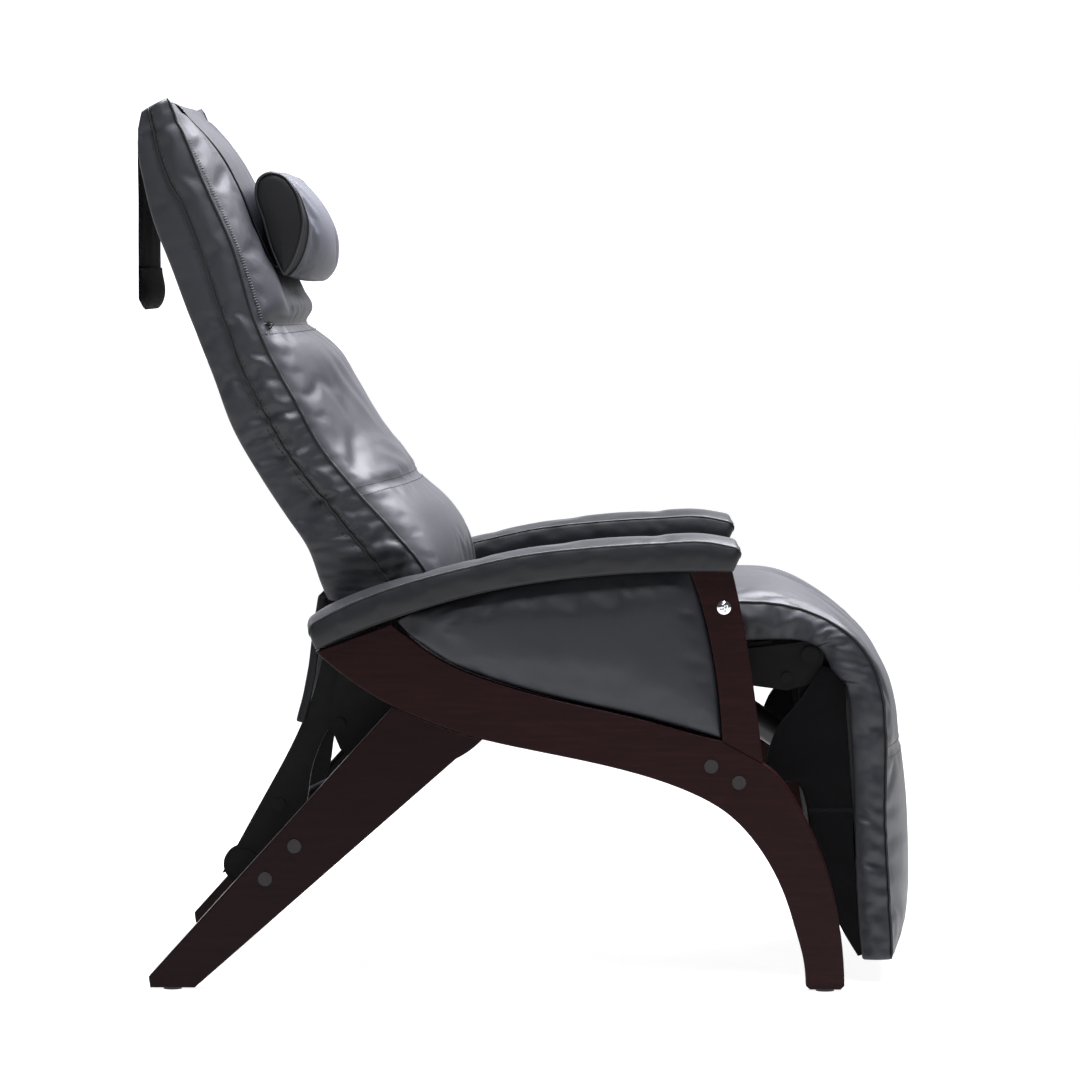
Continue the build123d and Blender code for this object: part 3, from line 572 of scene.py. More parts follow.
# ---------------------------------------------------------------- padded leather, lofted along its length
class Pad:
    """Crowned padded form. At each station along it, in millimetres in the side view: the front edge where
    the piping runs, the rear edge, the crown at the middle, and if given the seam between them on the side
    and the rear face behind the middle."""

    def __init__(self, front, rear, crown, seam=None, inner=None):
        self.knots = lengths_along(front)
        self.parts = {"front": front, "rear": rear, "crown": crown}
        self.parts.update(seam=seam or rear, inner=inner or rear)
        self.seam_at = 0.62 if seam else 1.0

    def read(self, part, w):
        return smooth_curve(self.knots, self.parts[part], w) * MM

    def station(self, z, part="front"):
        """Share of the length where a line of the pad passes a height."""
        fine = np.linspace(0, 1, 2001)
        return fine[np.abs(self.read(part, fine)[:, 1] - z * MM).argmin()]

    def shape(self, half, rear_half, power, bulge, lip=0.05, ridge=None, sink=None, roll=1.0):
        """half widths in metres; power: how square the crown is; bulge: how far the side swells; sink: how
        far the crown is lowered, for the simulation to fill; roll: below 1 the crown's edges turn over."""
        def place(u, v, w):
            front, rear, crown = self.read("front", w), self.read("rear", w), self.read("crown", w)
            seam, inner = self.read("seam", w), self.read("inner", w)
            across = np.abs(u)
            outward = crown - front
            outward /= np.maximum(np.linalg.norm(outward, axis=1), 1e-9)[:, None]
            if sink:
                crown = crown - outward * sink(w)[:, None]
            top = front + (crown - front) * ((1 - across ** power) ** roll)[:, None]
            if ridge:
                rise, where, width = ridge(w)
                top += outward * (rise * bump(across, where, width))[:, None]
            under = rear + (inner - rear) * step_up(1 - across, 0.3 * lip, lip)[:, None]
            share = np.clip(v / self.seam_at, 0, 1)[:, None]
            last = np.clip((v - self.seam_at) / max(1 - self.seam_at, 1e-9), 0, 1)[:, None]
            side = front + (seam - front) * share + (rear - seam) * last
            flat = front + (rear - front) * v[:, None]
            point = top + (under - top) * v[:, None] + (side - flat) * (across ** 8)[:, None]
            y_side = half + bulge * np.sin(pi * share[:, 0]) + (rear_half - half) * last[:, 0]
            y_flat = half + (rear_half - half) * v
            y = u * y_flat + np.sign(u) * (y_side - y_flat) * across ** 8
            return np.column_stack([point[:, 0], y, point[:, 1]])
        return place


def near_line(values, places, reach):
    """1 at the given places and falling to 0 at the reach."""
    out = np.zeros(len(values))
    for place in places:
        out = np.maximum(out, np.clip(1 - np.abs(values - place) / reach, 0, 1))
    return out


def finish_pad(piece, body=None, stands_for=()):
    obj = getattr(piece, "obj", piece)
    keep_rest(obj)
    subdivide(obj)
    if body:
        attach(obj, body)
    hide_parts(*stands_for)


def finish_trim(obj, body=None):
    keep_rest(obj)
    if body:
        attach(obj, body)
    return obj


def finish_sheet(sheet, thickness, slot, body=None, stands_for=(), smooth=True):
    """Gives an open sheet its thickness, half to each side."""
    if slot == "leather":
        keep_rest(sheet)
    modifier = sheet.modifiers.new("thickness", "SOLIDIFY")
    modifier.thickness, modifier.offset, modifier.use_even_offset = thickness, 0.0, True
    if smooth:
        subdivide(sheet)
    if body:
        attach(sheet, body)
    if stands_for:
        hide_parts(*stands_for)


BACK = Pad(
    front=[(-464, 1159), (-452, 1130), (-440, 1103), (-427, 1071), (-412, 1036), (-379, 961), (-362, 903),
           (-356, 882), (-350, 865), (-335, 830), (-300, 765), (-263, 699), (-219, 645), (-175, 597),
           (-132, 545), (-106, 500)],
    seam=[(-490, 1146), (-484, 1118), (-478, 1088), (-465, 1052), (-448, 1021), (-419, 946), (-400, 889),
          (-394, 871), (-388, 856), (-374, 815), (-338, 742), (-301, 681), (-260, 630), (-221, 582),
          (-178, 528), (-152, 492)],
    rear=[(-499, 1140), (-504, 1112), (-503, 1082), (-496, 1046), (-487, 1008), (-458, 930), (-437, 873),
          (-430, 856), (-424, 840), (-408, 800), (-381, 727), (-344, 662), (-312, 613), (-283, 570),
          (-266, 524), (-256, 500)],
    crown=[(-465, 1153), (-444, 1132), (-415, 1113), (-390, 1087), (-368, 1049), (-334, 970), (-298, 904),
           (-292, 882), (-300, 863), (-266, 834), (-234, 781), (-196, 722), (-148, 660), (-103, 618),
           (-68, 560), (-66, 512)])
HEAD_SEAM, LUMBAR_SEAM, CORNER_SEAM = BACK.station(z=865), BACK.station(z=645), BACK.station(z=1128)
CROWN_FOOT = BACK.station(z=925, part="crown")
UNDER_STRAP = STRAP_HALF / BACK_HALF + 0.02
BACK_POWER, BACK_ROLL = 2.1, 0.62


def back_upholstery():
    """Head, middle and lumbar cushions in one cover over the back, with side gussets and a rear band."""
    def bolster(w):
        head = 1 - step_up(w, HEAD_SEAM - 0.05, HEAD_SEAM)
        return 7 * MM * head, 0.78, 0.16

    def sink(w):
        at_seam = np.maximum(bump(w, HEAD_SEAM, 0.06), bump(w, LUMBAR_SEAM, 0.035))
        return 7 * MM * (1 - at_seam) * step_up(w, 0.02, 0.1)

    form = BACK.shape(BACK_HALF, BACK_HALF - 3 * MM, BACK_POWER, 6 * MM, ridge=bolster, sink=sink,
                      roll=BACK_ROLL)
    grid = BoxGrid("back_upholstery", 74, 15, 112, form, LEATHER)
    u, v, w = grid.u, grid.v, grid.w
    across, front, side = np.abs(u), v == 0, np.abs(u) > 0.999
    under_strap = across < UNDER_STRAP
    held = np.maximum.reduce([
        front * near_line(w, [HEAD_SEAM, LUMBAR_SEAM], 0.012), front * near_line(across, [1], 0.04),
        side * near_line(v, [BACK.seam_at], 0.05), (v > 0.99) * 1.0,
        side * near_line(w, [CORNER_SEAM], 0.012) * (v < BACK.seam_at), near_line(w, [0, 1], 0.006),
        0.8 * front * under_strap * (w < HEAD_SEAM - 0.05), 0.7 * front * (w < CORNER_SEAM)])
    groove = np.maximum(bump(w, HEAD_SEAM, 0.014), 0.6 * bump(w, LUMBAR_SEAM, 0.014)) * (1 - across ** 6)
    push(grid.obj, -5 * MM * front * groove - 2.5 * MM * side * bump(w, CORNER_SEAM, 0.012))
    slack = np.where(side, 0.1 + 0.9 * step_up(w, HEAD_SEAM - 0.04, HEAD_SEAM + 0.1), 0.0)
    slack = np.where(front, 0.25 + 0.2 * bump(w, LUMBAR_SEAM - 0.03, 0.05), slack)
    simulate(grid.obj, 1 - held, growth=0.045, pressure=2.5, cap=10 * MM, slack=slack)
    co = get_co(grid.obj)
    gathered = front * under_strap * bump(w, (CROWN_FOOT + HEAD_SEAM) / 2, (HEAD_SEAM - CROWN_FOOT))
    amount = 1.1 * MM * gathered * np.sin(co[:, 1] / (2.1 * MM) + 1.3 * np.sin(co[:, 1] / (9 * MM)))
    phase = 237 * w + 3.5 * v + 1.6 * np.sin(61 * w)
    pucker = (np.sin(phase) + 0.35 * np.sin(2 * phase + 1)) * (0.65 + 0.35 * np.sin(23 * w))
    amount += 2.0 * MM * side * pucker * step_up(w, HEAD_SEAM - 0.02, HEAD_SEAM + 0.1) * np.sin(pi * v) ** 0.5
    form = BACK.shape(BACK_HALF, BACK_HALF, BACK_POWER, 8 * MM, roll=BACK_ROLL)
    push(grid.obj, amount + fold_heights(co, form, BACK_FOLDS))
    finish_pad(grid, "back", ("head_cushion", "mid_back_cushion", "lumbar_cushion", "back_rear_panel"))
    return grid


# soft folds in the back's leather: from, to as (across, through, along), then width and height in mm
BACK_FOLDS = [
    ((0.55, 0, 0.47), (0.30, 0, 0.66), 16, 2.625), ((0.38, 0, 0.45), (0.12, 0, 0.62), 18, 2.25),
    ((0.72, 0, 0.50), (0.52, 0, 0.70), 14, -1.875), ((0.20, 0, 0.44), (0.02, 0, 0.56), 20, 1.875),
    ((0.66, 0, 0.70), (0.30, 0, 0.745), 8, 2.25), ((0.50, 0, 0.68), (0.10, 0, 0.72), 9, 1.875),
    ((0.75, 0, 0.735), (0.45, 0, 0.755), 6, 1.5),
]


def surface_line(grid, fixed):
    """Points and normals on the smooth surface along a lattice line: i, j and k, one of them left open."""
    near = BVHTree.FromObject(grid.obj, bpy.context.evaluated_depsgraph_get())
    hits = [near.find_nearest(Vector(point)) for point in get_co(grid.obj)[grid.line(*fixed)]]
    return np.array([hit[0] for hit in hits]), np.array([hit[1] for hit in hits])


def side_pipings(grid, name, j, radius, lift=0.6):
    """Piping along both side edges of a pad, at the lattice line j."""
    cords = []
    for i in (0, grid.size[0]):
        path, up = surface_line(grid, (i, j, None))
        cords.append(tube(name, dense_path(path + up * radius * lift, 4 * MM), radius, PIPE))
    return join(name, cords)


add_camera()
add_stage()
back = back_upholstery()
finish_trim(side_pipings(back, "back_piping", 0, PIPING), "back")
finish_trim(side_pipings(back, "back_rear_piping", round(BACK.seam_at * back.size[1]), 1.6 * MM), "back")

# ---------------------------------------------------------------- seat and leg rest
SEAT = Pad(
    front=[(-150, 452), (-100, 456), (0, 465), (120, 480), (220, 493), (287, 501), (346, 496), (400, 476),
           (440, 445), (460, 415), (471, 375), (475, 330), (475, 280), (474, 225), (477, 160), (480, 110),
           (483, 60), (484, 31)],
    rear=[(-143, 414), (-100, 417), (0, 426), (120, 436), (220, 444), (290, 450), (340, 451), (373, 449),
          (389, 438), (404, 412), (422, 392), (428, 338), (432, 284), (434, 228), (435, 156), (437, 107),
          (440, 62), (444, 30)],
    crown=[(-156, 462), (-100, 477), (0, 490), (120, 507), (220, 521), (288, 528), (350, 524), (410, 492),
           (456, 449), (479, 408), (493, 368), (501, 330), (505, 278), (510, 226), (513, 160), (514, 108),
           (512, 62), (503, 32)],
    inner=[(-143, 414), (-100, 417), (0, 426), (120, 436), (220, 444), (290, 451), (340, 456), (384, 458),
           (402, 446), (412, 424), (433, 398), (438, 338), (442, 284), (446, 228), (451, 156), (455, 107),
           (458, 62), (460, 40)])
CALF_SEAM, KNEE = SEAT.station(z=303, part="crown"), SEAT.station(z=430)

# gathers on the side of the knee and slanting creases on the side of the calf
SEAT_FOLDS = [((1, 1.0, KNEE + a), (1, 0.35, KNEE + 0.8 * a - 0.004), 7.2, 1.5 * h) for a, h in (
    (-0.095, 2.5), (-0.078, 3.0), (-0.060, 3.5), (-0.040, 3.0), (0.012, 4.0), (0.030, 3.5), (0.046, 3.0))]
SEAT_FOLDS += [((1, 0.95, CALF_SEAM + a), (1, 0.08, CALF_SEAM + a + 0.022), 7.2, 1.5 * h) for a, h in (
    (0.035, 2.5), (0.060, 3.0), (0.088, 3.5), (0.112, 3.0), (0.140, 3.5), (0.165, 2.5))]
SEAT_FOLDS += [((1, 0.95, CALF_SEAM + a), (1, 0.15, CALF_SEAM + a - 0.028), 8.0, 1.5 * h) for a, h in (
    (-0.03, 2.5), (0.01, 3.0))]


def seat_upholstery():
    """Seat, knee and calf in one cover, which bends at the knee."""
    def sink(w):
        return 7 * MM * (1 - bump(w, CALF_SEAM, 0.02)) * step_up(w, 0.0, 0.05)

    form = SEAT.shape(SEAT_HALF, SEAT_HALF, 2.6, 6 * MM, lip=0.06, sink=sink)
    grid = BoxGrid("seat_upholstery", 76, 7, 140, form, LEATHER)
    u, v, w = grid.u, grid.v, grid.w
    across, front, side = np.abs(u), v == 0, np.abs(u) > 0.999
    held = np.maximum.reduce([
        front * near_line(w, [CALF_SEAM], 0.010), front * near_line(across, [1], 0.04), (v > 0.99) * 1.0,
        near_line(w, [0, 1], 0.006)])
    push(grid.obj, -2.5 * MM * front * bump(w, CALF_SEAM, 0.010) * (1 - across ** 6))
    slack = np.where(side, 0.45 + 0.55 * bump(w, KNEE, 0.18) + 0.3 * step_up(w, CALF_SEAM, 1), 0.3)
    simulate(grid.obj, 1 - held, growth=0.05, pressure=2.5, cap=9 * MM, slack=np.clip(slack, 0, 1))
    amount = fold_heights(get_co(grid.obj), SEAT.shape(SEAT_HALF, SEAT_HALF, 2.6, 6 * MM), SEAT_FOLDS)
    phase = 262 * w + 4 * v + 1.4 * np.sin(47 * w)
    calf = step_up(w, CALF_SEAM - 0.03, CALF_SEAM + 0.05) * (1 - step_up(w, 0.93, 1))
    pucker = (np.sin(phase) + 0.3 * np.sin(2 * phase + 1)) * (bump(w, KNEE, 0.11) + 0.8 * calf)
    push(grid.obj, (amount + 2.4 * MM * pucker * np.sin(pi * v) ** 0.5) * side)
    finish_pad(grid, None, ("seat_cushion", "knee_cushion", "calf_cushion"))
    return grid


seat = seat_upholstery()
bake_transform(seat.obj)
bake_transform(finish_trim(side_pipings(seat, "seat_piping", 0, PIPING)))

# ---------------------------------------------------------------- arms
ARM = Pad(
    front=[(-277, 474), (-241, 494), (-186, 518), (-127, 537), (-64, 553), (0, 567), (84, 577), (175, 583),
           (240, 585), (288, 575)],
    rear=[(-264, 444), (-232, 459), (-180, 480), (-122, 499), (-63, 516), (0, 528), (84, 539), (168, 545),
          (232, 546), (274, 546)],
    crown=[(-281, 480), (-249, 500), (-190, 524), (-128, 542), (-65, 558), (0, 572), (84, 584), (175, 591),
           (235, 593), (284, 585)],
    inner=[(-264, 457), (-232, 472), (-180, 493), (-122, 512), (-63, 529), (0, 541), (84, 552), (168, 558),
           (232, 559), (270, 559)])


ARM_LENGTH, ARM_ROUND = 580 * MM, 13 * MM


def arm_shape(half):
    """The arm's pad with rounded ends; its lattice is denser there."""
    straight = ARM.shape(half - 2 * MM, half - 1 * MM, 2.4, 3 * MM, lip=0.2)

    def place(u, v, w):
        w = w - 0.8 * np.sin(2 * pi * w) / (2 * pi)
        point = straight(u, v, w)
        near = np.clip(1 - np.minimum(w, 1 - w) * ARM_LENGTH / ARM_ROUND, 0, 1)
        drop = ARM_ROUND * (1 - np.sqrt(1 - near ** 2))
        down = ARM.read("rear", w) - ARM.read("front", w)
        down /= np.linalg.norm(down, axis=1)[:, None]
        point[:, [0, 2]] += down * (drop * (1 - v))[:, None]
        point[:, 1] -= u * 0.5 * drop
        return point
    return place


def arm_pads():
    """Padded arms whose leather wraps the board, with a seam along each upper edge."""
    half = (ARM_OUTER - ARM_INNER) / 2
    for side, sign in (("right", -1), ("left", 1)):
        # The arm's leather is the darker copy: painted shade.
        grid = BoxGrid(f"arm_leather_{side}", 18, 8, 100, arm_shape(half), LEATHER_ARM_PAINTED_SHADE)
        held = np.maximum.reduce([(grid.v == 0) * near_line(np.abs(grid.u), [1], 0.15), (grid.v > 0.9) * 1.0,
                                  near_line(grid.w, [0, 1], 0.012)])
        simulate(grid.obj, 1 - held, growth=0.003, pressure=1.5, cap=4 * MM)
        set_co(grid.obj, get_co(grid.obj) + np.array([0, sign * (ARM_INNER + ARM_OUTER) / 2, 0]))
        finish_pad(grid, "base", (f"arm_pad_{side}",))
        finish_trim(side_pipings(grid, f"arm_seam_{side}", 0, 1.3 * MM, lift=0.2), "base")


arm_pads()


def mirror_piece(obj, name):
    """The same piece on the other side of the chair."""
    co = get_co(obj) * np.array([1, -1, 1])
    faces = [list(face.vertices)[::-1] for face in obj.data.polygons]
    return new_mesh(name, co, faces, obj.data.materials[0])


PANEL_TOP = [(-160, 481), (-127, 496), (-63, 514), (0, 527), (84, 539), (168, 546), (221, 547)]
PANEL_LOW = [(-160, 479), (-137, 456), (-94, 428), (-43, 407), (20, 388), (84, 373), (147, 359), (204, 344),
             (260, 328)]


def side_panels():
    """Padded leather panels that fill the wooden side frames, rolled over at their edges."""
    top_knots, low_knots = lengths_along(PANEL_TOP), lengths_along(PANEL_LOW)

    def place(u, v, w):
        top, low = smooth_curve(top_knots, PANEL_TOP, w), smooth_curve(low_knots, PANEL_LOW, w)
        rise = ((u + 1) / 2)[:, None]
        point = (low + (top - low) * rise) * MM
        point[:, 0] += 8 * MM * np.sin(pi * rise[:, 0]) * w ** 8
        crown = (1 - np.abs(u) ** 7) * (1 - np.clip(2 * w - 1, 0, 1) ** 14) * step_up(w, 0, 0.12)
        outer = PANEL_OUTER - 9 * MM + 13 * MM * crown
        inner = PANEL_OUTER - 26 * MM
        return np.column_stack([point[:, 0], -(outer + (inner - outer) * v), point[:, 1]])

    grid = BoxGrid("side_leather_right", 34, 3, 66, place, LEATHER)
    edge = np.maximum(near_line(np.abs(grid.u), [1], 0.06), near_line(grid.w, [0, 1], 0.02))
    simulate(grid.obj, 1 - np.maximum(edge, (grid.v > 0.3) * 1.0), growth=0.006, pressure=1.2, cap=4 * MM)
    left = mirror_piece(grid.obj, "side_leather_left")
    finish_pad(grid, "base", ("side_panel_right",))
    finish_pad(left, "base", ("side_panel_left",))


side_panels()


# ---------------------------------------------------------------- head strap, flap and its weight
STRAP_GUIDE = [(-337, 935), (-352, 990), (-371, 1050), (-389, 1091), (-413, 1121), (-440, 1143), (-467, 1157),
               (-490, 1153), (-503, 1140), (-510, 1124)]


def grid_mesh(name, rows, material):
    """Open sheet from rows of points."""
    rows = np.asarray(rows, float)
    high, wide = rows.shape[:2]
    faces = [[r * wide + c, r * wide + c + 1, (r + 1) * wide + c + 1, (r + 1) * wide + c]
             for r in range(high - 1) for c in range(wide - 1)]
    return new_mesh(name, rows.reshape(-1, 3), faces, material)


def outward_of(path):
    """Direction away from the chair at each point of a line in the side view."""
    ahead = np.gradient(path, axis=0)
    ahead /= np.linalg.norm(ahead, axis=1)[:, None]
    return np.column_stack([ahead[:, 1], -ahead[:, 0]])


def head_strap():
    """Broad pleated strap, laid on the head cushion from behind the pillow to the rear."""
    surface = BVHTree.FromPolygons([Vector(p) for p in get_co(back.obj)],
                                   [list(face.vertices) for face in back.obj.data.polygons])
    path = dense_path(STRAP_GUIDE, 6) * MM
    outward = outward_of(path)
    across = np.linspace(-STRAP_HALF, STRAP_HALF, 61)
    lifts = np.zeros((len(path), len(across)))
    far = 0.05
    for r, (point, out) in enumerate(zip(path, outward)):
        for c, y in enumerate(across):
            start = Vector((point[0] + far * out[0], y, point[1] + far * out[1]))
            hit = surface.ray_cast(start, Vector((-out[0], 0, -out[1])), 0.09)
            lifts[r, c] = far - hit[3] if hit[0] else 0.0
    for turn in range(6):
        lifts[:, 1:-1] = np.maximum(lifts[:, 1:-1], (lifts[:, :-2] + lifts[:, 2:]) / 2)
        lifts[1:-1] = (lifts[:-2] + 2 * lifts[1:-1] + lifts[2:]) / 4
    wave = np.sin(across / (1.9 * MM) + 1.5 * np.sin(across / (11 * MM)))
    share = np.linspace(0, 1, len(path))
    fade = step_up(share, 0.0, 0.25) * (1 - step_up(share, 0.75, 1))
    lifts += 2.4 * MM + 0.7 * MM * fade[:, None] * wave
    rows = np.array([np.column_stack([point[0] + lift * out[0], across, point[1] + lift * out[1]])
                     for point, out, lift in zip(path, outward, lifts)])
    strap = grid_mesh("head_strap_leather", rows, LEATHER)
    finish_sheet(strap, 2.4 * MM, "leather", "back", ("head_strap",))
    edges = [tube("edge", rows[:, column], 1.3 * MM, PIPE) for column in (0, -1)]
    piping = finish_trim(join("head_strap_piping", edges), "back")


FLAP_TOP, FLAP_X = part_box("strap_flap")[1].z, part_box("strap_flap")[0].x + 1.5 * MM
WEIGHT_TOP, WEIGHT_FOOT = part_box("strap_weight")[1].z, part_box("strap_weight")[0].z


def flap_half(z):
    """Half the flap's width at a height: a little waisted."""
    share = (FLAP_TOP - z) / (FLAP_TOP - WEIGHT_FOOT)
    return STRAP_HALF * (1 - 0.10 * np.sin(pi * np.clip(share * 1.25, 0, 1)) ** 2)


def hem(across):
    """How far the flap's lower edge rises, cut off at an angle towards both corners."""
    return 12 * MM * np.clip((np.abs(across) - 0.6) / 0.4, 0, 1)


def strap_flap():
    """Cloth flap that hangs plumb behind the head, a little waisted, with soft vertical folds."""
    share = np.linspace(0, 1, 42)
    rows = []
    for part in share:
        across = np.linspace(-1, 1, 41)
        z = FLAP_TOP + 2 * MM + (WEIGHT_FOOT + 3 * MM + hem(across) - FLAP_TOP - 2 * MM) * part
        y = across * flap_half(z)
        soft = 1.5 * MM * np.sin(y / (17 * MM) + 0.6) * np.sin(pi * min(1, 1.3 * part))
        rows.append(np.column_stack([FLAP_X + soft, y, z]))
    flap = grid_mesh("strap_flap_cloth", rows, CLOTH)
    finish_sheet(flap, 1.6 * MM, "black_fabric", stands_for=("strap_flap",))
    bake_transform(flap)


def weight_pouch():
    """Flat sandbag pocket at the flap's foot, thicker towards the bottom."""
    low_x = FLAP_X + 1.6 * MM

    def place(u, v, w):
        belly = np.sin(pi * np.clip(w, 0, 1)) ** 0.7 * (0.45 + 0.55 * w)
        x = low_x + v * (1.2 * MM + 13 * MM * belly * (1 - np.abs(u) ** 5))
        z = WEIGHT_TOP + (WEIGHT_FOOT + 1 * MM + hem(u) - WEIGHT_TOP) * w
        return np.column_stack([x, -u * (flap_half(z) - 1 * MM), z])
    grid = BoxGrid("weight_pouch", 36, 3, 14, place, CLOTH)
    finish_pad(grid, "weight", ("strap_weight",))


head_strap()
strap_flap()
weight_pouch()


# ---------------------------------------------------------------- pillow
PILLOW_FOOT, PILLOW_UP = np.array([-321, 881]) * MM, np.array([-0.2732, 0.9620])
PILLOW_OUT = np.array([0.9620, 0.2732])
# section as (up, out) in mm from the foot of the head cushion's face, at the middle and at the end caps
PILLOW_MIDDLE = [(40, 18), (75, 9), (120, 9), (158, 9), (177, 17), (183, 33), (173, 49), (148, 63), (112, 78),
                 (67, 82), (38, 69), (26, 49), (28, 29)]
PILLOW_END = [(45, 14), (80, 9), (120, 9), (158, 9), (174, 18), (178, 32), (171, 47), (150, 58), (124, 60),
              (96, 54), (70, 39), (53, 25), (45, 15)]


def pillow():
    """Neck roll: body in a much lighter copy of the leather as a painted sheen, end band and cap in a darker
    copy as painted shade, with a piping at each seam.
    """
    around = 72
    knots = lengths_along(PILLOW_MIDDLE + PILLOW_MIDDLE[:1])
    at = np.linspace(0, 1, around, endpoint=False)

    def section(points):
        closed = [points[-1], *points, points[0], points[1]]
        longer = np.concatenate([[knots[-2] - 1], knots, [1 + knots[1]]])
        return smooth_curve(longer, closed, at) * MM
    middle, end = section(PILLOW_MIDDLE), section(PILLOW_END)

    def ring(y, scale=1.0):
        share = (abs(y) / PILLOW_HALF) ** 2.4
        loop = middle + (end - middle) * share
        centre = loop.mean(axis=0)
        loop = centre + (loop - centre) * scale
        return np.column_stack([
            PILLOW_FOOT[0] + loop[:, 0] * PILLOW_UP[0] + loop[:, 1] * PILLOW_OUT[0], np.full(around, y),
            PILLOW_FOOT[1] + loop[:, 0] * PILLOW_UP[1] + loop[:, 1] * PILLOW_OUT[1]])
    widths = np.linspace(-1, 1, 61) * (PILLOW_HALF - 2 * MM)
    loops = [ring(-PILLOW_HALF - 3 * MM * (1 - s ** 2), s) for s in (0.05, 0.3, 0.55, 0.8, 0.93)]
    loops += [ring(y) for y in widths]
    loops += [ring(PILLOW_HALF + 3 * MM * (1 - s ** 2), s) for s in (0.93, 0.8, 0.55, 0.3, 0.05)]
    points = np.vstack(loops)
    band = PILLOW_HALF - 17 * MM
    dark = []
    for loop, following in zip(loops, loops[1:]):
        dark += [int(abs(loop[0, 1] + following[0, 1]) / 2 > band)] * around
    dark += [1, 1]
    # dark marks the end bands and caps, which take the darker copy of the leather as painted shade; the body
    # takes the lighter copy as a painted sheen.
    body = new_mesh("pillow_leather", points, ring_faces(len(loops), around, caps=True), LEATHER_PLEATED_PAINTED_LIGHT)
    body.data.materials.append(LEATHER_PAINTED_SHADE)
    body.data.polygons.foreach_set("material_index", dark)
    start = get_co(body)
    y = start[:, 1]
    rear = (start[:, [0, 2]] - PILLOW_FOOT) @ PILLOW_OUT < 11 * MM
    held = np.maximum.reduce([(np.abs(y) > band) * 1.0, near_line(np.abs(y), [band], 3 * MM), rear * 1.0])
    simulate(body, 1 - held, growth=0.02, pressure=2.0, cap=5 * MM)
    finish_pad(body, "pillow_body", ("pillow",))
    cords = []
    for y_ring, thick in ((band, 1.4 * MM), (PILLOW_HALF - 1 * MM, 1.9 * MM)):
        for side in (-1, 1):
            cords.append(tube("cord", ring(side * y_ring, 1.003), thick, PIPE, closed=True))
    finish_trim(join("pillow_piping", cords), "pillow_body")


pillow()


# ---------------------------------------------------------------- skirt, lining and the fold behind the seat
def side_sheet(name, guide, half, material, columns, ripple, spacing=6, turned=0.0):
    """Sheet across the chair that follows a side-view line, with a soft ripple across it. Its side edges may
    be turned forward."""
    path = dense_path(guide, spacing) * MM
    y = np.linspace(-half, half, columns)
    rows = []
    for point, out, part in zip(path, outward_of(path), np.linspace(0, 1, len(path))):
        lift = ripple(y, part)
        if turned:
            lift[[0, -1]] -= turned
            lift[[1, -2]] -= turned / 2
            y = np.concatenate([[-half] * 3, np.linspace(-half, half, columns - 4)[1:-1], [half] * 3])
        rows.append(np.column_stack([point[0] + lift * out[0], y, point[1] + lift * out[1]]))
    return grid_mesh(name, rows, material), float(run_along(path)[-1])


def back_skirt():
    guide = [(-268.5, 507), (-273, 470), (-280, 425), (-286, 395), (-292, 365), (-298, 341)]

    def ripple(y, part):
        return 2.2 * MM * np.sin(y / (13 * MM) + 5 * part) * np.sin(pi * min(part * 1.1, 1))

    # The skirt takes the darker copy of the leather as painted shade.
    skirt, length = side_sheet("back_skirt_leather", guide, SKIRT_HALF - 1 * MM, LEATHER_PAINTED_SHADE, 65, ripple,
                               turned=11 * MM)
    finish_sheet(skirt, 2.2 * MM, "leather", "back", ("back_skirt",))


def seat_fold():
    """Leather tongue tucked behind the seat, which opens as the back reclines."""
    guide = [(-128, 473), (-160, 478), (-190, 482), (-203, 486), (-190, 490), (-150, 493), (-108, 495)]
    # The tongue takes the darker copy of the leather as painted shade.
    tongue, length = side_sheet("seat_fold_leather", guide, SEAT_HALF - 18 * MM, LEATHER_PAINTED_SHADE, 41,
                                lambda y, part: 0 * y, spacing=4)
    finish_sheet(tongue, 1.6 * MM, "leather", smooth=False)
    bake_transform(tongue)


LINING_REAR = [(373, 230), (377, 200), (383, 170), (399, 118), (419, 72), (440, 36)]
# each cheek's lower and upper part: rear edge, front edge
CHEEKS = (([(440, 36), (419, 72), (399, 118), (383, 170), (374, 229)],
           [(447, 38), (441, 110), (434, 170), (432, 229)]),
          ([(374, 229), (360, 262), (322, 268), (330, 330), (362, 372), (392, 417)],
           [(432, 229), (429, 270), (423, 350), (420, 392), (409, 413)]))


def leg_lining():
    """Black cloth lining of the tray behind the leg rest, with a cheek on each side."""
    def ripple(y, part):
        return 1.5 * MM * np.sin(y / (26 * MM)) * np.sin(pi * part)

    pieces = [side_sheet("lining_rear", LINING_REAR, LINING_HALF - 2 * MM, CLOTH, 61, ripple)[0]]
    at, t = np.linspace(0, 1, 34), np.linspace(0, 1, 13)
    for side in (-1, 1):
        for edges in CHEEKS:
            a, b = [smooth_curve(lengths_along(edge), edge, at) * MM for edge in edges]
            rows = []
            for n in range(len(at)):
                line = a[n] + (b[n] - a[n]) * t[:, None]
                dish = 2.0 * MM * np.sin(pi * t) * np.sin(pi * at[n]) * np.sin(9 * at[n] + 2)
                y = side * (LINING_HALF - 1.5 * MM - np.abs(dish))
                rows.append(np.column_stack([line[:, 0], y, line[:, 1]]))
            pieces.append(grid_mesh("cheek", rows if side < 0 else rows[::-1], CLOTH))
    lining = join("leg_lining_cloth", pieces)
    finish_sheet(lining, 1.6 * MM, "black_fabric", "legrest", ("leg_lining",), smooth=False)


back_skirt()
seat_fold()
leg_lining()


# ---------------------------------------------------------------- threads, tab and bolt heads
def seam_row(grid, *fixed, radius=0.55 * MM):
    """Stitches along a lattice line."""
    return stitches("row", *surface_line(grid, fixed), 4.5 * MM, 2.5 * MM, radius, THREAD)


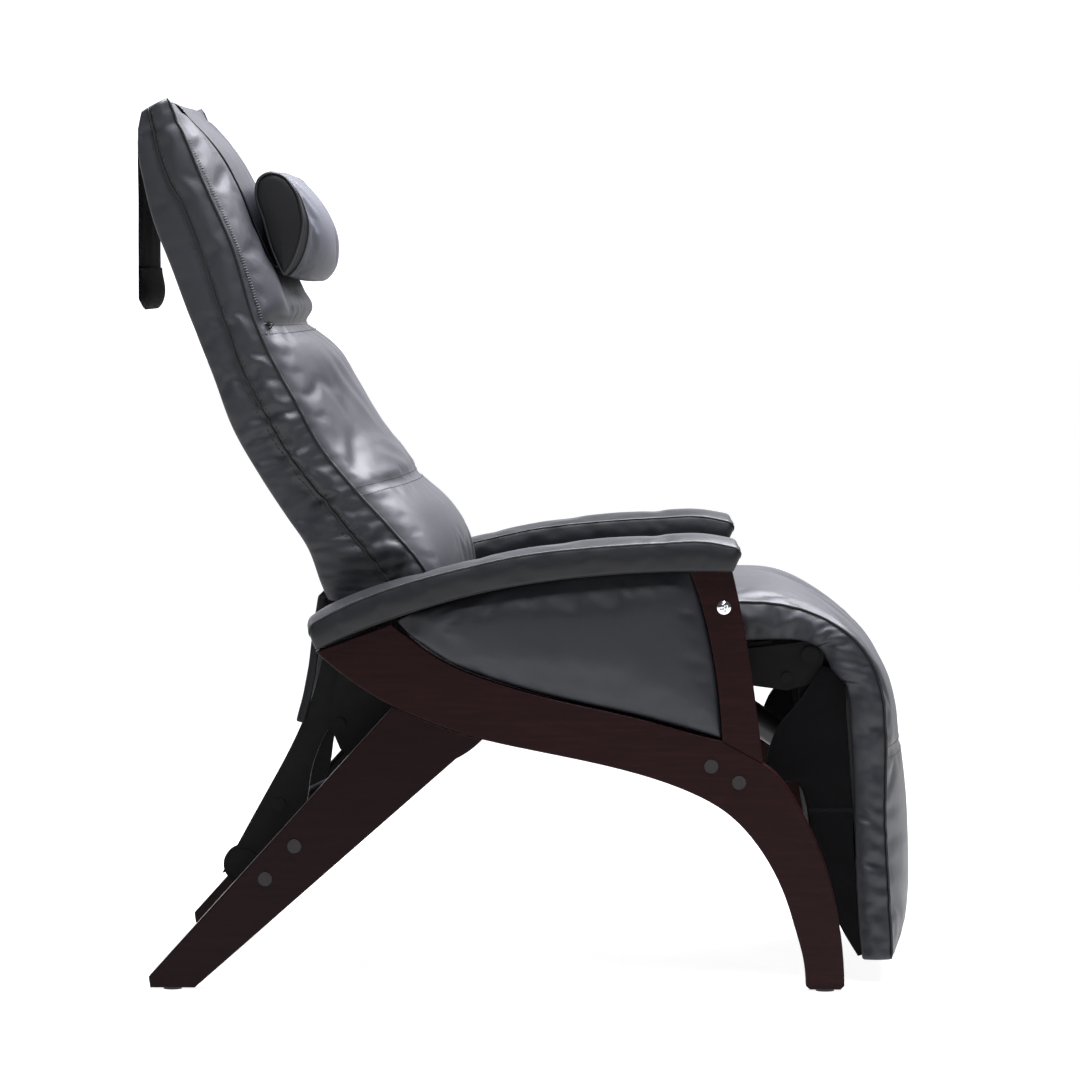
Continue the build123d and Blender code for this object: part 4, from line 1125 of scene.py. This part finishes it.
def back_threads():
    """Stitches beside both seams across the front, in the ladder by the head's piping and at the rear seam,
    and a dark cord in the head seam's crease as painted shade.
    """
    across, through, along = back.size
    last, rear = round(HEAD_SEAM * along), round(BACK.seam_at * through)
    rows = [seam_row(back, None, 0, round(LUMBAR_SEAM * along) + shift) for shift in (-1, 1)]
    rows.append(seam_row(back, None, 0, last + 2))
    for i in (1, across - 1):
        path, up = [part[9:last] for part in surface_line(back, (i, 0, None))]
        rows.append(stitches("ladder", path, up, 1.0 * MM, 2.6 * MM, 0.7 * MM, THREAD, across=6 * MM))
    for i in (0, across):
        rows += [seam_row(back, i, j, None, radius=0.5 * MM) for j in (rear - 1, rear + 1)]
    # A thin dark cord of the piping leather laid in the head seam's crease: painted shade in the crevice.
    path = surface_line(back, (None, 0, last))[0]
    rows.append(tube("crease", dense_path(path[1:-1], 4 * MM), 1.3 * MM, PIPE))
    finish_trim(join("back_stitching_and_shade_cord", rows), "back")


def seat_threads():
    seam = round(CALF_SEAM * seat.size[2])
    rows = [seam_row(seat, None, 0, seam + shift) for shift in (-1, 1)]
    finish_trim(join("calf_stitching", rows), "legrest")


def seam_tab():
    """Small plain loop of cloth caught in the seam under the head cushion."""
    line = back.line(i=3, j=0)
    at = round(HEAD_SEAM * back.size[2])
    base, up = get_co(back.obj)[line[at]], normals(back.obj)[line[at]]
    tabs = []
    for side in (1, -1):
        flip = np.array([1, side, 1])
        rows = []
        for t in np.linspace(0, 1, 9):
            out = up * (1 + 7 * np.sin(pi * t)) * MM + np.array([0.2, 0, -1]) * (10 * t - 4) * MM
            rows.append([(base + out + np.array([0, y, 0])) * flip for y in np.linspace(-7, 7, 5) * MM])
        tabs.append(grid_mesh("tab", rows, CLOTH))
    tab = join("seam_tab", tabs)
    finish_sheet(tab, 0.8 * MM, "black_fabric", "back")


def bolt_domes(material):
    """Domed heads with a cross recess on the two bolts of the front posts."""
    low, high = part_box("post_bolts")
    centre_x, centre_z = (low.x + high.x) / 2, (low.z + high.z) / 2
    radius, rise = (high.x - low.x) / 2, 2.6 * MM
    slot_half, slot_reach, slot_depth = 1.15 * MM, 4.6 * MM, 1.7 * MM
    rings, around = 14, 64
    heads = []
    for side in (-1, 1):
        points = []
        for reach in radius * (1 - np.arange(rings + 1) / rings):
            for angle in 2 * pi * np.arange(around) / around:
                x, z = reach * cos(angle), reach * sin(angle)
                arm_a, arm_b = abs(x * 0.92 + z * 0.39), abs(-x * 0.39 + z * 0.92)
                sunk = min(arm_a, arm_b) < slot_half and max(arm_a, arm_b) < slot_reach
                y = high.y + rise * (1 - (reach / radius) ** 2.2) - (slot_depth if sunk else 0)
                points.append((centre_x + x, side * y, centre_z + z))
        faces = ring_faces(rings + 1, around)
        heads.append(new_mesh("dome", points, faces if side < 0 else [f[::-1] for f in faces], material))
    domes = join("post_bolt_heads", heads)
    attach(domes, "base")


back_threads()
seat_threads()
seam_tab()


# ---------------------------------------------------------------- finishes of the frame's own parts
SLOT_FINISH = {
    "dark_wood": WOOD_RAIL, "black_steel": BLACK_STEEL, "black_fabric": CLOTH,
    "plywood": plywood("stained_plywood"), "leather": LEATHER,
    "elastic_webbing": woven("elastic_webbing", (0.02, 0.02, 0.02), (0.07, 0.07, 0.07), 1.6 * MM),
    "black_plastic": plastic("black_plastic", (0.020, 0.020, 0.021)),
    "chrome": metal("chrome", (0.80, 0.80, 0.82), 0.10),
    "zinc_steel": metal("zinc_steel", (0.45, 0.46, 0.48), 0.32, brushed=0.2),
    "dark_bolts": plastic("dark_bolt_caps", (0.0075, 0.0048, 0.0045), 0.7),
}
HIDDEN_STEEL = ("legrest_pivot_pins", "back_pivot_pins", "subframe_bolts", "lever_bolts", "pivot_washers")
for part in frame["record"]["subparts"]:
    node = NODES[part["node"]]
    material = SLOT_FINISH[part["material_slot"]]
    # The rear legs get the darkened wood: painted shade.
    if part["node"].startswith("rear_leg"):
        material = WOOD_LEG_PAINTED_SHADE
    if part["node"].startswith("front_post"):
        material = WOOD_POST
    if part["node"] in HIDDEN_STEEL:
        material = BLACK_STEEL
    for held_slot in node.material_slots:
        held_slot.material = material

bolt_domes(SLOT_FINISH["chrome"])
